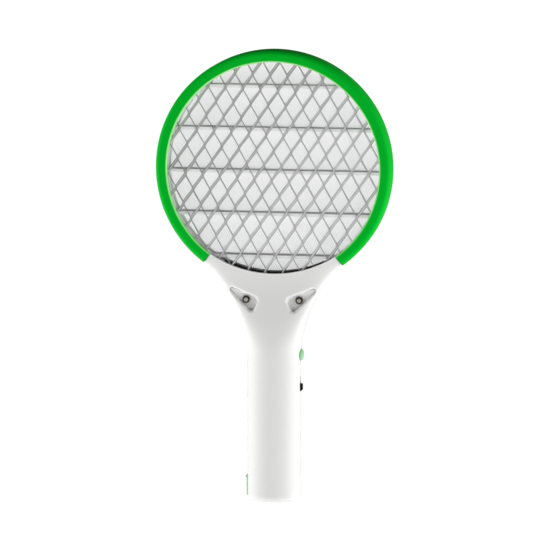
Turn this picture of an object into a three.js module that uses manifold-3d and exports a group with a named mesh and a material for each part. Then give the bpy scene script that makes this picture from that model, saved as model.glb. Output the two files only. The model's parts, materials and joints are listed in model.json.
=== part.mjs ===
// A rechargeable electric bug zapper in the shape of a small racket.
// It stands on its base: +Z runs up the handle to the round head, the side with the screws faces -Y,
// and the push button and the power switch are on the +X side. All sizes are in millimetres.

import * as THREE from 'three';
import { mergeVertices } from 'three/addons/utils/BufferGeometryUtils.js';
import Module from 'manifold-3d';

const wasm = await Module();
wasm.setup();

// ---------------------------------------------------------------- driving dimensions

const GAP = 0.3; // free space between two pieces that meet
const FAR = 100; // longer than any wall that a cutter has to pass through

const RING_Z = 259; // height of the head's centre above the base
const RING_OUTER = 91.3;
const RING_INNER = 82.1;
const RING_HALF_DEPTH = 10;
const RING_LIP = 3.1; // thickness of the lip that holds a net from outside
const RING_SEAT = 86.9; // radius of the seat that the nets and spacers drop into
const RING_CORNER = 4; // rounding of the ring's outer corner
const RING_LIP_CORNER = 1.4;
const RING_SIDES = 48;
const NECK_ANGLE = THREE.MathUtils.degToRad(36.2); // where the neck ends, from straight down
const RING_ANGLE = THREE.MathUtils.degToRad(36.5); // where the green ring begins
const TANG_ANGLE = THREE.MathUtils.degToRad(27); // how far the ring's tangs reach into the neck
const NECK_LOW_Z = 178.5; // lowest point of the neck's curved upper edge

const HANDLE_HALF_WIDTH = 21;
const HANDLE_HALF_DEPTH = 16;
const HANDLE_TOP_Z = 114; // where the straight handle starts to flare into the neck
const NECK_DEEP_Z = 178; // where the neck has thinned to the ring's depth
const HANDLE_ROUNDNESS = 2; // exponent of the oval section: 2 is an ellipse, more is squarer
const NECK_ROUNDNESS = 6;
const BASE_FILLET = 5;
const WALL = 2.2;
const FLOOR = 2.5;
const SHELL_SIDES = 32;
const FLARE_STEPS = 9;

const NET_RADIUS = 86.5;
const NET_OPEN_RADIUS = 84.2; // the diamonds end here and the plain rim starts
const NET_Y = 6.25; // distance of an outer net's middle from the middle plane
const NET_THICK = 0.5;
const DIAMOND_WIDTH = 13.5;
const DIAMOND_HEIGHT = 23.1;
const STRAND_WIDE = 2.2; // width of the strands that rise to +X
const STRAND_THIN = 1.1; // width of the strands that rise to -X
const NET_TURN = THREE.MathUtils.degToRad(-3.8); // the diamonds lean a little
const NET_SHIFT = [-0.3, 2.4]; // where the holes' grid crosses, from the head's centre
const INNER_NET_RADIUS = 84;
const INNER_NET_THICK = 0.3;

const SPACER_INNER = 81.8;
const SPACER_NEAR_Y = 0.65;
const SPACER_FAR_Y = 5.65;
const INSULATOR_RADIUS = 81.5;
const INSULATOR_SHOW = 0.4; // how far the black strip stands above the neck's edge
const INSULATOR_HALF_LENGTH = 38;
const RIB_COUNT = 5;
const RIB_PITCH = 32.8;
const RIB_THICK = 2.4;
const RIB_DROP = 2.4; // the middle rib sits this far below the head's centre

const SCREW_X = 20.6;
const SCREW_Z = 158;
const SCREW_HEAD_RADIUS = 2.95;
const SCREW_HEAD_HEIGHT = 2.3;
const SCREW_SHANK_RADIUS = 1.5;
const SCREW_LENGTH = 15;
const SCREW_SLOT = 0.8;
const BOSS_RADIUS = 3.6;
const POCKET_FLOOR_Y = -7.6; // outer face of the floor that the screw head sits on
const POCKET_WALL = 1.5;
const POCKET_CORNERS = [[34.6, 167], [10.6, 158.8], [15.9, 147.4]];
const POCKET_ROUND = [1.4, 3.2, 2.6];

const BUTTON_Z = 114.7;
const BUTTON_RADIUS = 4.5;
const BUTTON_TIP_X = 22.9;
const BUTTON_FLANGE_RADIUS = 5.6;
const BUTTON_FLANGE_X = 15.8; // inner face of the flange that keeps the button in
const BUTTON_FLANGE_THICK = 1;
const BUTTON_EDGE_X = 21.1; // where the dome starts

const KNOB_LOW_Z = 86.7;
const KNOB_HEIGHT = 5;
const KNOB_TRAVEL = 6;
const KNOB_HALF_WIDTH = 3;
const KNOB_TIP_X = 22.1;
const KNOB_SEAT_DEPTH = 1.2; // how deep its track lies in the handle's side
const KNOB_STEM_HALF = 1;

const FLAP_LOW_Z = 3.6;
const FLAP_HINGE_Z = 18.6;
const FLAP_HALF_WIDTH = 4.6;
const FLAP_PROUD = 0.9;
const FLAP_DEPTH = 1.1;
const FLAP_KNUCKLE = 1;

const CELL_RADIUS = 9.1;
const CELL_LENGTH = 65;
const CELL_X = 5.5;
const CELL_LOW_Z = 8;
const CRADLE_ZS = [32, 60];
const CRADLE_THICK = 1.6;

const BOARD_Y = 3; // rear face of the circuit board
const BOARD_THICK = 1.6;
const BOARD_HALF_WIDTH = 12.5;
const BOARD_LOW_Z = 82;
const BOARD_HIGH_Z = 150;
const BOARD_SCREWS = [[-9.5, 86], [9, 145.5]];
const BOARD_BOSS_RADIUS = 2.7;
const BOARD_SCREW_RADIUS = 1;
const BOARD_HOLE_RADIUS = 1.35;

const SOCKET_Z = 11.2;
const SOCKET_HALF_HEIGHT = 4.5;
const SOCKET_HALF_WIDTH = 1.65;
const SOCKET_MOUTH_X = -19.2;
const SOCKET_BACK_X = -11.8;
const SOCKET_WALL = 0.4;

const CAPACITOR_ZS = [120, 110];
const DIODE_ZS = [103.5, 107.2];
const RESISTOR_ZS = [90, 93.5];
const PART_WIRE_RADIUS = 0.35;
const PART_AXIS_HEIGHT = 1.6; // how high a diode's or resistor's axis stands above the board

const LED_Z = 138;
const LED_RADIUS = 1.5;
const LEAD_RADIUS = 0.7;

// ---------------------------------------------------------------- colours and surfaces

const FINISHES = {
  whitePlastic: { color: 0xf1f1ee, roughness: 0.38, metalness: 0 },
  greenPlastic: { color: 0x0aa52b, roughness: 0.3, metalness: 0 },
  paleGreenRubber: { color: 0x8ecf96, roughness: 0.55, metalness: 0 },
  ribPlastic: { color: 0xd9d9d9, roughness: 0.5, metalness: 0 },
  netSteel: { color: 0x9b9b9e, roughness: 0.35, metalness: 1 },
  screwSteel: { color: 0x5a5850, roughness: 0.35, metalness: 1 },
  blackPlastic: { color: 0x161616, roughness: 0.45, metalness: 0 },
  tin: { color: 0xb9bcc0, roughness: 0.4, metalness: 1 },
  boardGreen: { color: 0x1d5a34, roughness: 0.5, metalness: 0 },
  cellWrap: { color: 0x2f6fb5, roughness: 0.4, metalness: 0 },
  ferrite: { color: 0x2b2b2d, roughness: 0.7, metalness: 0 },
  windingTape: { color: 0xd8a92a, roughness: 0.5, metalness: 0 },
  filmRed: { color: 0x8e2a1c, roughness: 0.4, metalness: 0 },
  resistorTan: { color: 0xcdb58a, roughness: 0.5, metalness: 0 },
  redInsulation: { color: 0xb3201c, roughness: 0.5, metalness: 0 },
  blackInsulation: { color: 0x1a1a1a, roughness: 0.5, metalness: 0 },
  whiteInsulation: { color: 0xe4e2dc, roughness: 0.5, metalness: 0 },
  ledRed: { color: 0xd8352a, roughness: 0.15, metalness: 0 },
};

// ---------------------------------------------------------------- geometry helpers

function solid(geometry) {
  const bare = geometry.clone();
  bare.deleteAttribute('normal');
  bare.deleteAttribute('uv');
  const merged = mergeVertices(bare, 1e-4);
  const vertProperties = new Float32Array(merged.attributes.position.array);
  const triVerts = new Uint32Array(merged.index.array);
  return new wasm.Manifold(new wasm.Mesh({ numProp: 3, vertProperties, triVerts }));
}

function geometryOf(body) {
  const mesh = body.getMesh();
  const geometry = new THREE.BufferGeometry();
  geometry.setAttribute('position', new THREE.BufferAttribute(mesh.vertProperties, 3));
  geometry.setIndex(new THREE.BufferAttribute(mesh.triVerts, 1));
  geometry.computeVertexNormals();
  return geometry;
}

function joined(bodies) {
  return bodies.reduce((sum, body) => sum.add(body));
}

function block([x0, x1], [y0, y1], [z0, z1]) {
  const geometry = new THREE.BoxGeometry(x1 - x0, y1 - y0, z1 - z0);
  geometry.translate((x0 + x1) / 2, (y0 + y1) / 2, (z0 + z1) / 2);
  return solid(geometry);
}

// A round bar along one axis, from a to b on that axis, centred on the other two coordinates.
function bar(axis, radius, [a, b], [p, q], sides = 24) {
  const geometry = new THREE.CylinderGeometry(radius, radius, b - a, sides);
  const middle = (a + b) / 2;
  if (axis === 'x') geometry.rotateZ(-Math.PI / 2).translate(middle, p, q);
  if (axis === 'y') geometry.translate(p, middle, q);
  if (axis === 'z') geometry.rotateX(Math.PI / 2).translate(p, q, middle);
  return solid(geometry);
}

// A turned body on an axis: the profile's points are [radius, distance along the axis].
function turned(axis, profile, sides) {
  const points = profile.map(([r, t]) => new THREE.Vector2(r, t));
  const geometry = new THREE.LatheGeometry(points, sides);
  if (axis === 'x') geometry.rotateZ(-Math.PI / 2);
  if (axis === 'z') geometry.rotateX(Math.PI / 2);
  return geometry;
}

// A flat outline in the XZ plane, given thickness from y0 to y1.
function slab(shapes, y0, y1, curveSegments = 12) {
  const geometry = new THREE.ExtrudeGeometry(shapes, { depth: y1 - y0, bevelEnabled: false, curveSegments });
  geometry.rotateX(Math.PI / 2).translate(0, y1, 0);
  return solid(geometry);
}

function roundedPolygon(corners, radii) {
  const shape = new THREE.Shape();
  corners.forEach(([x, z], i) => {
    const here = new THREE.Vector2(x, z);
    const before = new THREE.Vector2(...corners.at(i - 1)).sub(here);
    const after = new THREE.Vector2(...corners[(i + 1) % corners.length]).sub(here);
    const half = Math.acos(before.dot(after) / before.length() / after.length()) / 2;
    const reach = radii[i] / Math.tan(half);
    const start = here.clone().addScaledVector(before.normalize(), reach);
    const end = here.clone().addScaledVector(after.normalize(), reach);
    if (i === 0) shape.moveTo(start.x, start.y);
    else shape.lineTo(start.x, start.y);
    shape.quadraticCurveTo(here.x, here.y, end.x, end.y);
  });
  shape.closePath();
  return shape;
}

function lead(points, radius = LEAD_RADIUS) {
  const path = new THREE.CatmullRomCurve3(points.map((p) => new THREE.Vector3(...p)));
  const section = new THREE.Shape().absarc(0, 0, radius, 0, 2 * Math.PI);
  const steps = 3 * (points.length - 1);
  return solid(new THREE.ExtrudeGeometry(section, { extrudePath: path, steps, curveSegments: 4 }));
}

// ---------------------------------------------------------------- the housing's form

const onRing = (radius, angle) => [radius * Math.sin(angle), RING_Z - radius * Math.cos(angle)];

// Half width against height, from the ring's end down a smooth flare to the straight handle.
function flareCurve() {
  const [x, z] = onRing(RING_OUTER, NECK_ANGLE);
  const reach = 24;
  return new THREE.CubicBezierCurve(
    new THREE.Vector2(HANDLE_HALF_WIDTH, HANDLE_TOP_Z),
    new THREE.Vector2(HANDLE_HALF_WIDTH, HANDLE_TOP_Z + reach),
    new THREE.Vector2(x - reach * Math.cos(NECK_ANGLE), z - reach * Math.sin(NECK_ANGLE)),
    new THREE.Vector2(x, z),
  );
}

// How far the section at this height has changed from the handle's to the neck's, 0 to 1.
const flare = (z) => THREE.MathUtils.smoothstep(z, HANDLE_TOP_Z, NECK_DEEP_Z);

// Levels of the housing: height, half width and half depth, shrunk inward by inset.
function housingLevels(inset, bottomZ) {
  const levels = [];
  const curve = flareCurve();
  const last = curve.getPoint(1);
  const corner = Math.max(0.4, BASE_FILLET - inset);
  for (const turn of [0, 0.5, 1]) {
    const pull = corner * (1 - Math.sin((turn * Math.PI) / 2));
    const rise = corner * (1 - Math.cos((turn * Math.PI) / 2));
    levels.push([bottomZ + rise, HANDLE_HALF_WIDTH - pull, HANDLE_HALF_DEPTH - pull]);
  }
  for (const { x, y: z } of curve.getPoints(FLARE_STEPS)) levels.push([z, x, depthAt(z)]);
  const overrun = 12;
  levels.push([last.y + overrun, last.x + overrun / Math.tan(NECK_ANGLE), RING_HALF_DEPTH]);
  return levels.map(([z, w, d]) => [z, w - inset, d - inset]);
}

function depthAt(z) {
  return THREE.MathUtils.lerp(HANDLE_HALF_DEPTH, RING_HALF_DEPTH, flare(z));
}

function signedPower(value, power) {
  const clean = Number(value.toFixed(6)); // so that the axis points stay exactly on the axis
  return Math.sign(clean) * Math.abs(clean) ** power;
}

// The housing's form as one solid: a cylinder whose rings take the oval section of each level.
function housingForm(inset, bottomZ = 0) {
  const levels = housingLevels(inset, bottomZ);
  const rows = levels.length - 1;
  const geometry = new THREE.CylinderGeometry(1, 1, rows, SHELL_SIDES, rows);
  const position = geometry.attributes.position;
  for (let i = 0; i < position.count; i++) {
    const [z, halfWidth, halfDepth] = levels[Math.round(position.getY(i) + rows / 2)];
    const power = 2 / THREE.MathUtils.lerp(HANDLE_ROUNDNESS, NECK_ROUNDNESS, flare(z));
    const x = halfWidth * signedPower(position.getX(i), power);
    const y = halfDepth * signedPower(-position.getZ(i), power);
    position.setXYZ(i, x, y, z);
  }
  return solid(geometry);
}

// The circle that the neck's curved upper edge lies on.
function neckArc() {
  const [endX, endZ] = onRing(RING_INNER, NECK_ANGLE);
  const rise = endZ - NECK_LOW_Z;
  const radius = (endX ** 2 + rise ** 2) / (2 * rise);
  return { radius, centreZ: NECK_LOW_Z + radius, half: Math.asin(endX / radius) };
}

// Everything below the neck's curved upper edge and between the ring's two ends.
function neckLimit() {
  const { radius, centreZ, half } = neckArc();
  const [farX, farZ] = onRing(RING_OUTER + FAR / 2, NECK_ANGLE);
  const shape = new THREE.Shape();
  shape.absarc(0, centreZ, radius, 1.5 * Math.PI - half, 1.5 * Math.PI + half, false);
  shape.lineTo(farX, farZ);
  shape.lineTo(farX, -FAR);
  shape.lineTo(-farX, -FAR);
  shape.lineTo(-farX, farZ);
  shape.closePath();
  return slab(shape, -FAR, FAR, 28);
}

const outerForm = housingForm(0);
const innerForm = housingForm(WALL, FLOOR);
const clearForm = housingForm(WALL + GAP, FLOOR + GAP);
const wholeHousing = outerForm.subtract(innerForm).intersect(neckLimit());

const rearHalf = () => block([-FAR, FAR], [-FAR, -GAP / 2], [-FAR, 4 * FAR]);
const frontHalf = () => block([-FAR, FAR], [GAP / 2, FAR], [-FAR, 4 * FAR]);

const pocketOutline = (side) => {
  const corners = POCKET_CORNERS.map(([x, z]) => [side * x, z]);
  return roundedPolygon(corners, POCKET_ROUND);
};

// ---------------------------------------------------------------- openings in the housing

function buttonHole() {
  return bar('x', BUTTON_RADIUS + 0.35, [10, FAR], [0, BUTTON_Z], 24);
}

function knobTrack() {
  const low = KNOB_LOW_Z - 0.5;
  const high = KNOB_LOW_Z + KNOB_HEIGHT + KNOB_TRAVEL + 0.5;
  const side = KNOB_HALF_WIDTH + 0.4;
  const recess = block([10, FAR], [-side, side], [low, high]).subtract(housingForm(KNOB_SEAT_DEPTH));
  const stemLow = KNOB_LOW_Z + 1.1;
  const stemHigh = KNOB_LOW_Z + KNOB_HEIGHT + KNOB_TRAVEL - 1.1;
  const slotHalf = KNOB_STEM_HALF + 0.4;
  return recess.add(block([10, FAR], [-slotHalf, slotHalf], [stemLow, stemHigh]));
}

function flapOpening() {
  const side = FLAP_HALF_WIDTH + GAP;
  const low = FLAP_LOW_Z - GAP;
  const high = FLAP_HINGE_Z + FLAP_KNUCKLE + GAP;
  const recess = block([-FAR, -10], [-side, side], [low, high]).subtract(housingForm(FLAP_DEPTH + GAP));
  const mouthHalf = SOCKET_HALF_WIDTH + 0.35;
  const mouthHigh = SOCKET_HALF_HEIGHT + 0.4;
  const mouth = block([-FAR, -15], [-mouthHalf, mouthHalf], [SOCKET_Z - mouthHigh, SOCKET_Z + mouthHigh]);
  return recess.add(mouth);
}

// The seat that the nets and spacers drop into, where they reach into the neck.
function netSeat() {
  const reach = RING_HALF_DEPTH - RING_LIP;
  return bar('y', RING_SEAT, [-reach, reach], [0, RING_Z], RING_SIDES);
}

function cradleRibs() {
  const ribs = CRADLE_ZS.map((z) => block([-FAR, FAR], [-FAR, FAR], [z, z + CRADLE_THICK]));
  const room = bar('z', CELL_RADIUS + GAP, [0, FAR], [CELL_X, 0], 32);
  const leadRoom = block([-15, -3], [-7, 7], [0, FAR]);
  return joined(ribs).intersect(outerForm).subtract(room).subtract(leadRoom);
}

function sharedCuts(body) {
  const cuts = [buttonHole(), knobTrack(), flapOpening(), netSeat()];
  return cuts.reduce((rest, cut) => rest.subtract(cut), body);
}

// ---------------------------------------------------------------- the shells

function rearShell() {
  let body = wholeHousing.add(cradleRibs());
  for (const side of [-1, 1]) {
    const pocket = pocketOutline(side);
    const centre = [side * SCREW_X, SCREW_Z];
    const box = pocketBlock(side).intersect(outerForm);
    const boss = bar('y', BOSS_RADIUS, [POCKET_FLOOR_Y + 1, 0], centre);
    body = body.add(box).add(boss);
    body = body.subtract(slab(pocket, -FAR, POCKET_FLOOR_Y, 5));
    body = body.subtract(bar('y', SCREW_SHANK_RADIUS + GAP, [-FAR, FAR], centre));
  }
  return sharedCuts(body).intersect(rearHalf());
}

// The walls and floor of a screw pocket, before it is hollowed out.
function pocketBlock(side) {
  const middleX = POCKET_CORNERS.reduce((sum, [x]) => sum + x, 0) / POCKET_CORNERS.length;
  const middleZ = POCKET_CORNERS.reduce((sum, [, z]) => sum + z, 0) / POCKET_CORNERS.length;
  const corners = POCKET_CORNERS.map(([x, z]) => {
    const out = new THREE.Vector2(x - middleX, z - middleZ);
    out.setLength(out.length() + 1.8 * POCKET_WALL);
    return [side * (middleX + out.x), middleZ + out.y];
  });
  return slab(roundedPolygon(corners, POCKET_ROUND), -FAR, POCKET_FLOOR_Y + POCKET_WALL, 5);
}

function frontShell() {
  let body = wholeHousing.add(cradleRibs());
  for (const side of [-1, 1]) {
    const centre = [side * SCREW_X, SCREW_Z];
    const boss = bar('y', BOSS_RADIUS, [0, HANDLE_HALF_DEPTH], centre).intersect(outerForm);
    body = body.add(boss).subtract(bar('y', SCREW_SHANK_RADIUS + GAP, [0, 10.5], centre));
  }
  for (const [x, z] of BOARD_SCREWS) {
    const start = BOARD_Y + BOARD_THICK + GAP;
    const boss = bar('y', BOARD_BOSS_RADIUS, [start, HANDLE_HALF_DEPTH], [x, z], 16).intersect(outerForm);
    body = body.add(boss).subtract(bar('y', BOARD_HOLE_RADIUS, [start - 1, 10], [x, z], 12));
  }
  body = body.subtract(bar('y', LED_RADIUS + GAP, [8, FAR], [0, LED_Z], 20));
  return sharedCuts(body).intersect(frontHalf());
}

// ---------------------------------------------------------------- the head

function arcPoints(centre, radius, from, to, steps) {
  return Array.from({ length: steps + 1 }, (_, i) => {
    const angle = from + ((to - from) * i) / steps;
    return [centre[0] + radius * Math.cos(angle), centre[1] + radius * Math.sin(angle)];
  });
}

// The section of the front half of the ring, as [radius, y].
function ringSection() {
  const corner = [RING_OUTER - RING_CORNER, RING_HALF_DEPTH - RING_CORNER];
  const lipCorner = [RING_INNER + RING_LIP_CORNER, RING_HALF_DEPTH - RING_LIP_CORNER];
  const lipY = RING_HALF_DEPTH - RING_LIP;
  return [
    [RING_SEAT, GAP / 2],
    [RING_OUTER, GAP / 2],
    ...arcPoints(corner, RING_CORNER, 0, Math.PI / 2, 4),
    ...arcPoints(lipCorner, RING_LIP_CORNER, Math.PI / 2, Math.PI, 2),
    [RING_INNER, lipY],
    [RING_SEAT, lipY],
    [RING_SEAT, GAP / 2],
  ];
}

// The wedge below the head's centre, up to an angle either side of straight down.
function wedge(angle) {
  const [x, z] = onRing(2 * FAR, angle);
  const corners = [[0, RING_Z], [-x, z], [x, z]];
  return slab(new THREE.Shape(corners.map((corner) => new THREE.Vector2(...corner))), -FAR, FAR);
}

// Two short tangs that carry the ring's ends on into the neck.
function ringTangs() {
  const innerRadius = RING_SEAT;
  const outerRadius = RING_OUTER - 2;
  const tangDepth = 4.6;
  const section = [
    [innerRadius, GAP / 2],
    [outerRadius, GAP / 2],
    [outerRadius, tangDepth],
    [innerRadius, tangDepth],
    [innerRadius, GAP / 2],
  ];
  const hoop = solid(turned('y', section, RING_SIDES).translate(0, 0, RING_Z));
  const overlap = THREE.MathUtils.degToRad(2);
  const reach = wedge(RING_ANGLE + overlap).subtract(wedge(TANG_ANGLE));
  const inside = clearForm.add(wedge(2 * RING_ANGLE).subtract(wedge(RING_ANGLE)));
  return hoop.intersect(reach).intersect(inside);
}

function frontRing() {
  const hoop = solid(turned('y', ringSection(), RING_SIDES).translate(0, 0, RING_Z));
  return hoop.subtract(wedge(RING_ANGLE)).add(ringTangs());
}

const mirroredToRear = (body) => body.mirror([0, 1, 0]);

// The corners of one hole about its centre, left between two strands of each direction.
function diamondCorners(halfWidth, halfHeight) {
  const pitch = (2 * halfWidth * halfHeight) / Math.hypot(halfWidth, halfHeight);
  const alongWide = (pitch - STRAND_THIN) / (2 * pitch);
  const alongThin = (pitch - STRAND_WIDE) / (2 * pitch);
  return [[1, 1], [1, -1], [-1, -1], [-1, 1]].map(([wide, thin]) => [
    halfWidth * (wide * alongWide + thin * alongThin),
    halfHeight * (wide * alongWide - thin * alongThin),
  ]);
}

function diamondHoles() {
  const halfWidth = DIAMOND_WIDTH / 2;
  const halfHeight = DIAMOND_HEIGHT / 2;
  const corners = diamondCorners(halfWidth, halfHeight);
  const holes = [];
  const columns = Math.ceil(NET_RADIUS / halfWidth);
  const rows = Math.ceil(NET_RADIUS / halfHeight);
  for (let i = -columns; i <= columns; i++) {
    for (let j = -rows; j <= rows; j++) {
      if ((i + j) % 2 !== 0) continue;
      const centre = new THREE.Vector2(i * halfWidth, j * halfHeight);
      if (centre.length() > NET_OPEN_RADIUS + halfWidth) continue;
      const turnedCorners = corners.map(([x, z]) => {
        const point = new THREE.Vector2(x, z).add(centre).rotateAround(new THREE.Vector2(), NET_TURN);
        return point.add(new THREE.Vector2(NET_SHIFT[0], RING_Z + NET_SHIFT[1]));
      });
      holes.push(new THREE.Shape(turnedCorners));
    }
  }
  return holes;
}

function outerNet(side) {
  const y = side * NET_Y;
  const span = [y - NET_THICK / 2, y + NET_THICK / 2];
  const sheet = bar('y', NET_RADIUS, span, [0, RING_Z], RING_SIDES);
  const open = bar('y', NET_OPEN_RADIUS, [-FAR, FAR], [0, RING_Z], RING_SIDES);
  return sheet.subtract(slab(diamondHoles(), span[0] - 1, span[1] + 1).intersect(open));
}

// The inner net, with the tab at its foot that its lead is soldered to.
function innerNet() {
  const span = [-INNER_NET_THICK / 2, INNER_NET_THICK / 2];
  const disc = bar('y', INNER_NET_RADIUS, span, [0, RING_Z], RING_SIDES);
  return disc.add(block([-2.5, 0.5], span, [170.4, 177]));
}

// A ring with cross ribs that keeps an outer net away from the inner one.
function frontSpacer() {
  const span = [SPACER_NEAR_Y, SPACER_FAR_Y];
  const disc = bar('y', NET_RADIUS, span, [0, RING_Z], RING_SIDES);
  const hoop = disc.subtract(bar('y', SPACER_INNER, [-FAR, FAR], [0, RING_Z], RING_SIDES));
  const ribs = Array.from({ length: RIB_COUNT }, (_, i) => {
    const z = RING_Z - RIB_DROP + (i - (RIB_COUNT - 1) / 2) * RIB_PITCH;
    return block([-FAR, FAR], span, [z - RIB_THICK / 2, z + RIB_THICK / 2]).intersect(disc);
  });
  return joined([hoop, ...ribs]);
}

// A black crescent that lines the spacer's hoop behind the neck and shows as a dark line above its edge.
function frontInsulator() {
  const span = [SPACER_NEAR_Y, SPACER_FAR_Y];
  const { radius, centreZ } = neckArc();
  const disc = bar('y', INSULATOR_RADIUS, span, [0, RING_Z], 2 * RING_SIDES);
  const open = bar('y', radius - INSULATOR_SHOW, [-FAR, FAR], [0, centreZ], 2 * RING_SIDES);
  const reach = block([-INSULATOR_HALF_LENGTH, INSULATOR_HALF_LENGTH], [-FAR, FAR], [0, RING_Z]);
  return disc.subtract(open).intersect(reach);
}

// ---------------------------------------------------------------- fasteners and controls

function neckScrew(side) {
  const headY = POCKET_FLOOR_Y - GAP;
  const topY = headY - SCREW_HEAD_HEIGHT;
  const profile = [
    [0, topY],
    [SCREW_HEAD_RADIUS * 0.6, topY + 0.2],
    [SCREW_HEAD_RADIUS, topY + 1],
    [SCREW_HEAD_RADIUS, headY],
    [SCREW_SHANK_RADIUS, headY],
    [SCREW_SHANK_RADIUS, headY + SCREW_LENGTH - 1.5],
    [0, headY + SCREW_LENGTH],
  ];
  const centre = [side * SCREW_X, SCREW_Z];
  const body = solid(turned('y', profile, 16).translate(centre[0], 0, centre[1]));
  const slotSpan = [topY - 1, topY + 1.2];
  const half = SCREW_SLOT / 2;
  const reach = SCREW_HEAD_RADIUS * 0.62;
  const level = block([-reach, reach], slotSpan, [-half, half]);
  const cross = level.add(block([-half, half], slotSpan, [-reach, reach]));
  return body.subtract(cross.rotate([0, 25, 0]).translate([centre[0], 0, centre[1]]));
}

function boardScrew([x, z]) {
  const headY = BOARD_Y - GAP;
  const profile = [[0, headY - 1.3], [2, headY - 0.9], [2, headY], [BOARD_SCREW_RADIUS, headY]];
  profile.push([BOARD_SCREW_RADIUS, headY + 5.5], [0, headY + 6]);
  return solid(turned('y', profile, 14).translate(x, 0, z));
}

function pushButton() {
  const flangeX = BUTTON_FLANGE_X + BUTTON_FLANGE_THICK;
  const dome = arcPoints([0, 0], 1, 0, Math.PI / 2, 5).map(([c, s]) => {
    return [BUTTON_RADIUS * c, BUTTON_EDGE_X + (BUTTON_TIP_X - BUTTON_EDGE_X) * s];
  });
  dome[dome.length - 1][0] = 0; // the dome ends exactly on the axis
  const profile = [
    [0, BUTTON_FLANGE_X],
    [BUTTON_FLANGE_RADIUS, BUTTON_FLANGE_X],
    [BUTTON_FLANGE_RADIUS, flangeX],
    [BUTTON_RADIUS, flangeX],
    ...dome,
  ];
  return solid(turned('x', profile, 24).translate(0, 0, BUTTON_Z));
}

function slideKnob() {
  const high = KNOB_LOW_Z + KNOB_HEIGHT;
  const side = [-KNOB_HALF_WIDTH, KNOB_HALF_WIDTH];
  const cap = block([10, KNOB_TIP_X], side, [KNOB_LOW_Z, high]).subtract(housingForm(KNOB_SEAT_DEPTH - GAP));
  const width = [-KNOB_STEM_HALF, KNOB_STEM_HALF];
  const stem = block([14.4, KNOB_TIP_X - 1], width, [KNOB_LOW_Z + 1.5, high - 1.5]);
  let body = cap.add(stem);
  for (let z = KNOB_LOW_Z + 1.3; z < high - 1; z += 1.2) {
    body = body.subtract(block([KNOB_TIP_X - 0.5, FAR], [-FAR, FAR], [z - 0.25, z + 0.25]));
  }
  return body;
}

function socketFlap() {
  const side = [-FLAP_HALF_WIDTH, FLAP_HALF_WIDTH];
  const plate = block([-FAR, -10], side, [FLAP_LOW_Z, FLAP_HINGE_Z]);
  const skin = housingForm(-FLAP_PROUD, -FLAP_PROUD).subtract(housingForm(FLAP_DEPTH));
  const hingeX = -HANDLE_HALF_WIDTH - (FLAP_PROUD - FLAP_DEPTH) / 2;
  const knuckle = bar('y', FLAP_KNUCKLE, side, [hingeX, FLAP_HINGE_Z], 20);
  return plate.intersect(skin).add(knuckle);
}

// ---------------------------------------------------------------- power and electronics

function cell() {
  const rim = CELL_RADIUS - 1.2;
  const high = CELL_LOW_Z + CELL_LENGTH;
  const profile = [
    [0, CELL_LOW_Z],
    [CELL_RADIUS, CELL_LOW_Z],
    [CELL_RADIUS, high - 1],
    [rim, high - 1],
    [rim * 0.4, high - 1],
    [rim * 0.4, high],
    [0, high],
  ];
  return solid(turned('z', profile, 24).translate(CELL_X, 0, 0));
}

function cellTab(z) {
  return block([CELL_X - 7.5, CELL_X + 2.5], [-2, 2], [z, z + 0.4]);
}

function socketBoard() {
  const y = SOCKET_HALF_WIDTH + GAP;
  return block([-16.2, -6.4], [y, y + 1.2], [SOCKET_Z - 7.5, SOCKET_Z + 7.5]);
}

function chargingSocket() {
  const rounded = (halfZ, halfY, xs) => {
    const middle = block(xs, [-halfY, halfY], [SOCKET_Z - halfZ + halfY, SOCKET_Z + halfZ - halfY]);
    const ends = [-1, 1].map((s) => bar('x', halfY, xs, [0, SOCKET_Z + s * (halfZ - halfY)], 16));
    return joined([middle, ...ends]);
  };
  const can = rounded(SOCKET_HALF_HEIGHT, SOCKET_HALF_WIDTH, [SOCKET_MOUTH_X, SOCKET_BACK_X]);
  const hollow = rounded(
    SOCKET_HALF_HEIGHT - SOCKET_WALL,
    SOCKET_HALF_WIDTH - SOCKET_WALL,
    [SOCKET_MOUTH_X - 1, SOCKET_BACK_X - 1],
  );
  const tongueXs = [SOCKET_MOUTH_X + 0.8, SOCKET_BACK_X];
  const tongue = block(tongueXs, [-0.35, 0.35], [SOCKET_Z - 3.3, SOCKET_Z + 3.3]);
  return can.subtract(hollow).add(tongue);
}

function circuitBoard() {
  let body = block(
    [-BOARD_HALF_WIDTH, BOARD_HALF_WIDTH],
    [BOARD_Y, BOARD_Y + BOARD_THICK],
    [BOARD_LOW_Z, BOARD_HIGH_Z],
  );
  for (const centre of BOARD_SCREWS) body = body.subtract(bar('y', BOARD_HOLE_RADIUS, [0, 10], centre, 12));
  return body;
}

// Everything on the circuit board stands this far off its rear face.
const ON_BOARD = BOARD_Y - GAP;

function tactSwitch() {
  const body = block([8.4, 12.4], [ON_BOARD - 6, ON_BOARD], [BUTTON_Z - 3, BUTTON_Z + 3]);
  return body.add(bar('x', 1.6, [12, 13.9], [0, BUTTON_Z], 16));
}

function slideSwitchCan() {
  const low = KNOB_LOW_Z - 2;
  const high = KNOB_LOW_Z + KNOB_HEIGHT + KNOB_TRAVEL + 2;
  return block([8.6, 14], [ON_BOARD - 5.4, ON_BOARD], [low, high]);
}

const TRANSFORMER = { x: 0, y: -3.6, z: 131 };

function transformerCore() {
  const { x, y, z } = TRANSFORMER;
  let body = block([x - 8, x + 8], [y - 2.5, y + 2.5], [z - 6.5, z + 6.5]);
  for (const side of [-1, 1]) {
    const span = [x + side * 4 - 1.75, x + side * 4 + 1.75];
    body = body.subtract(block(span, [y - 5, y + 5], [z - 4.2, z + 4.2]));
  }
  return body;
}

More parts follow.
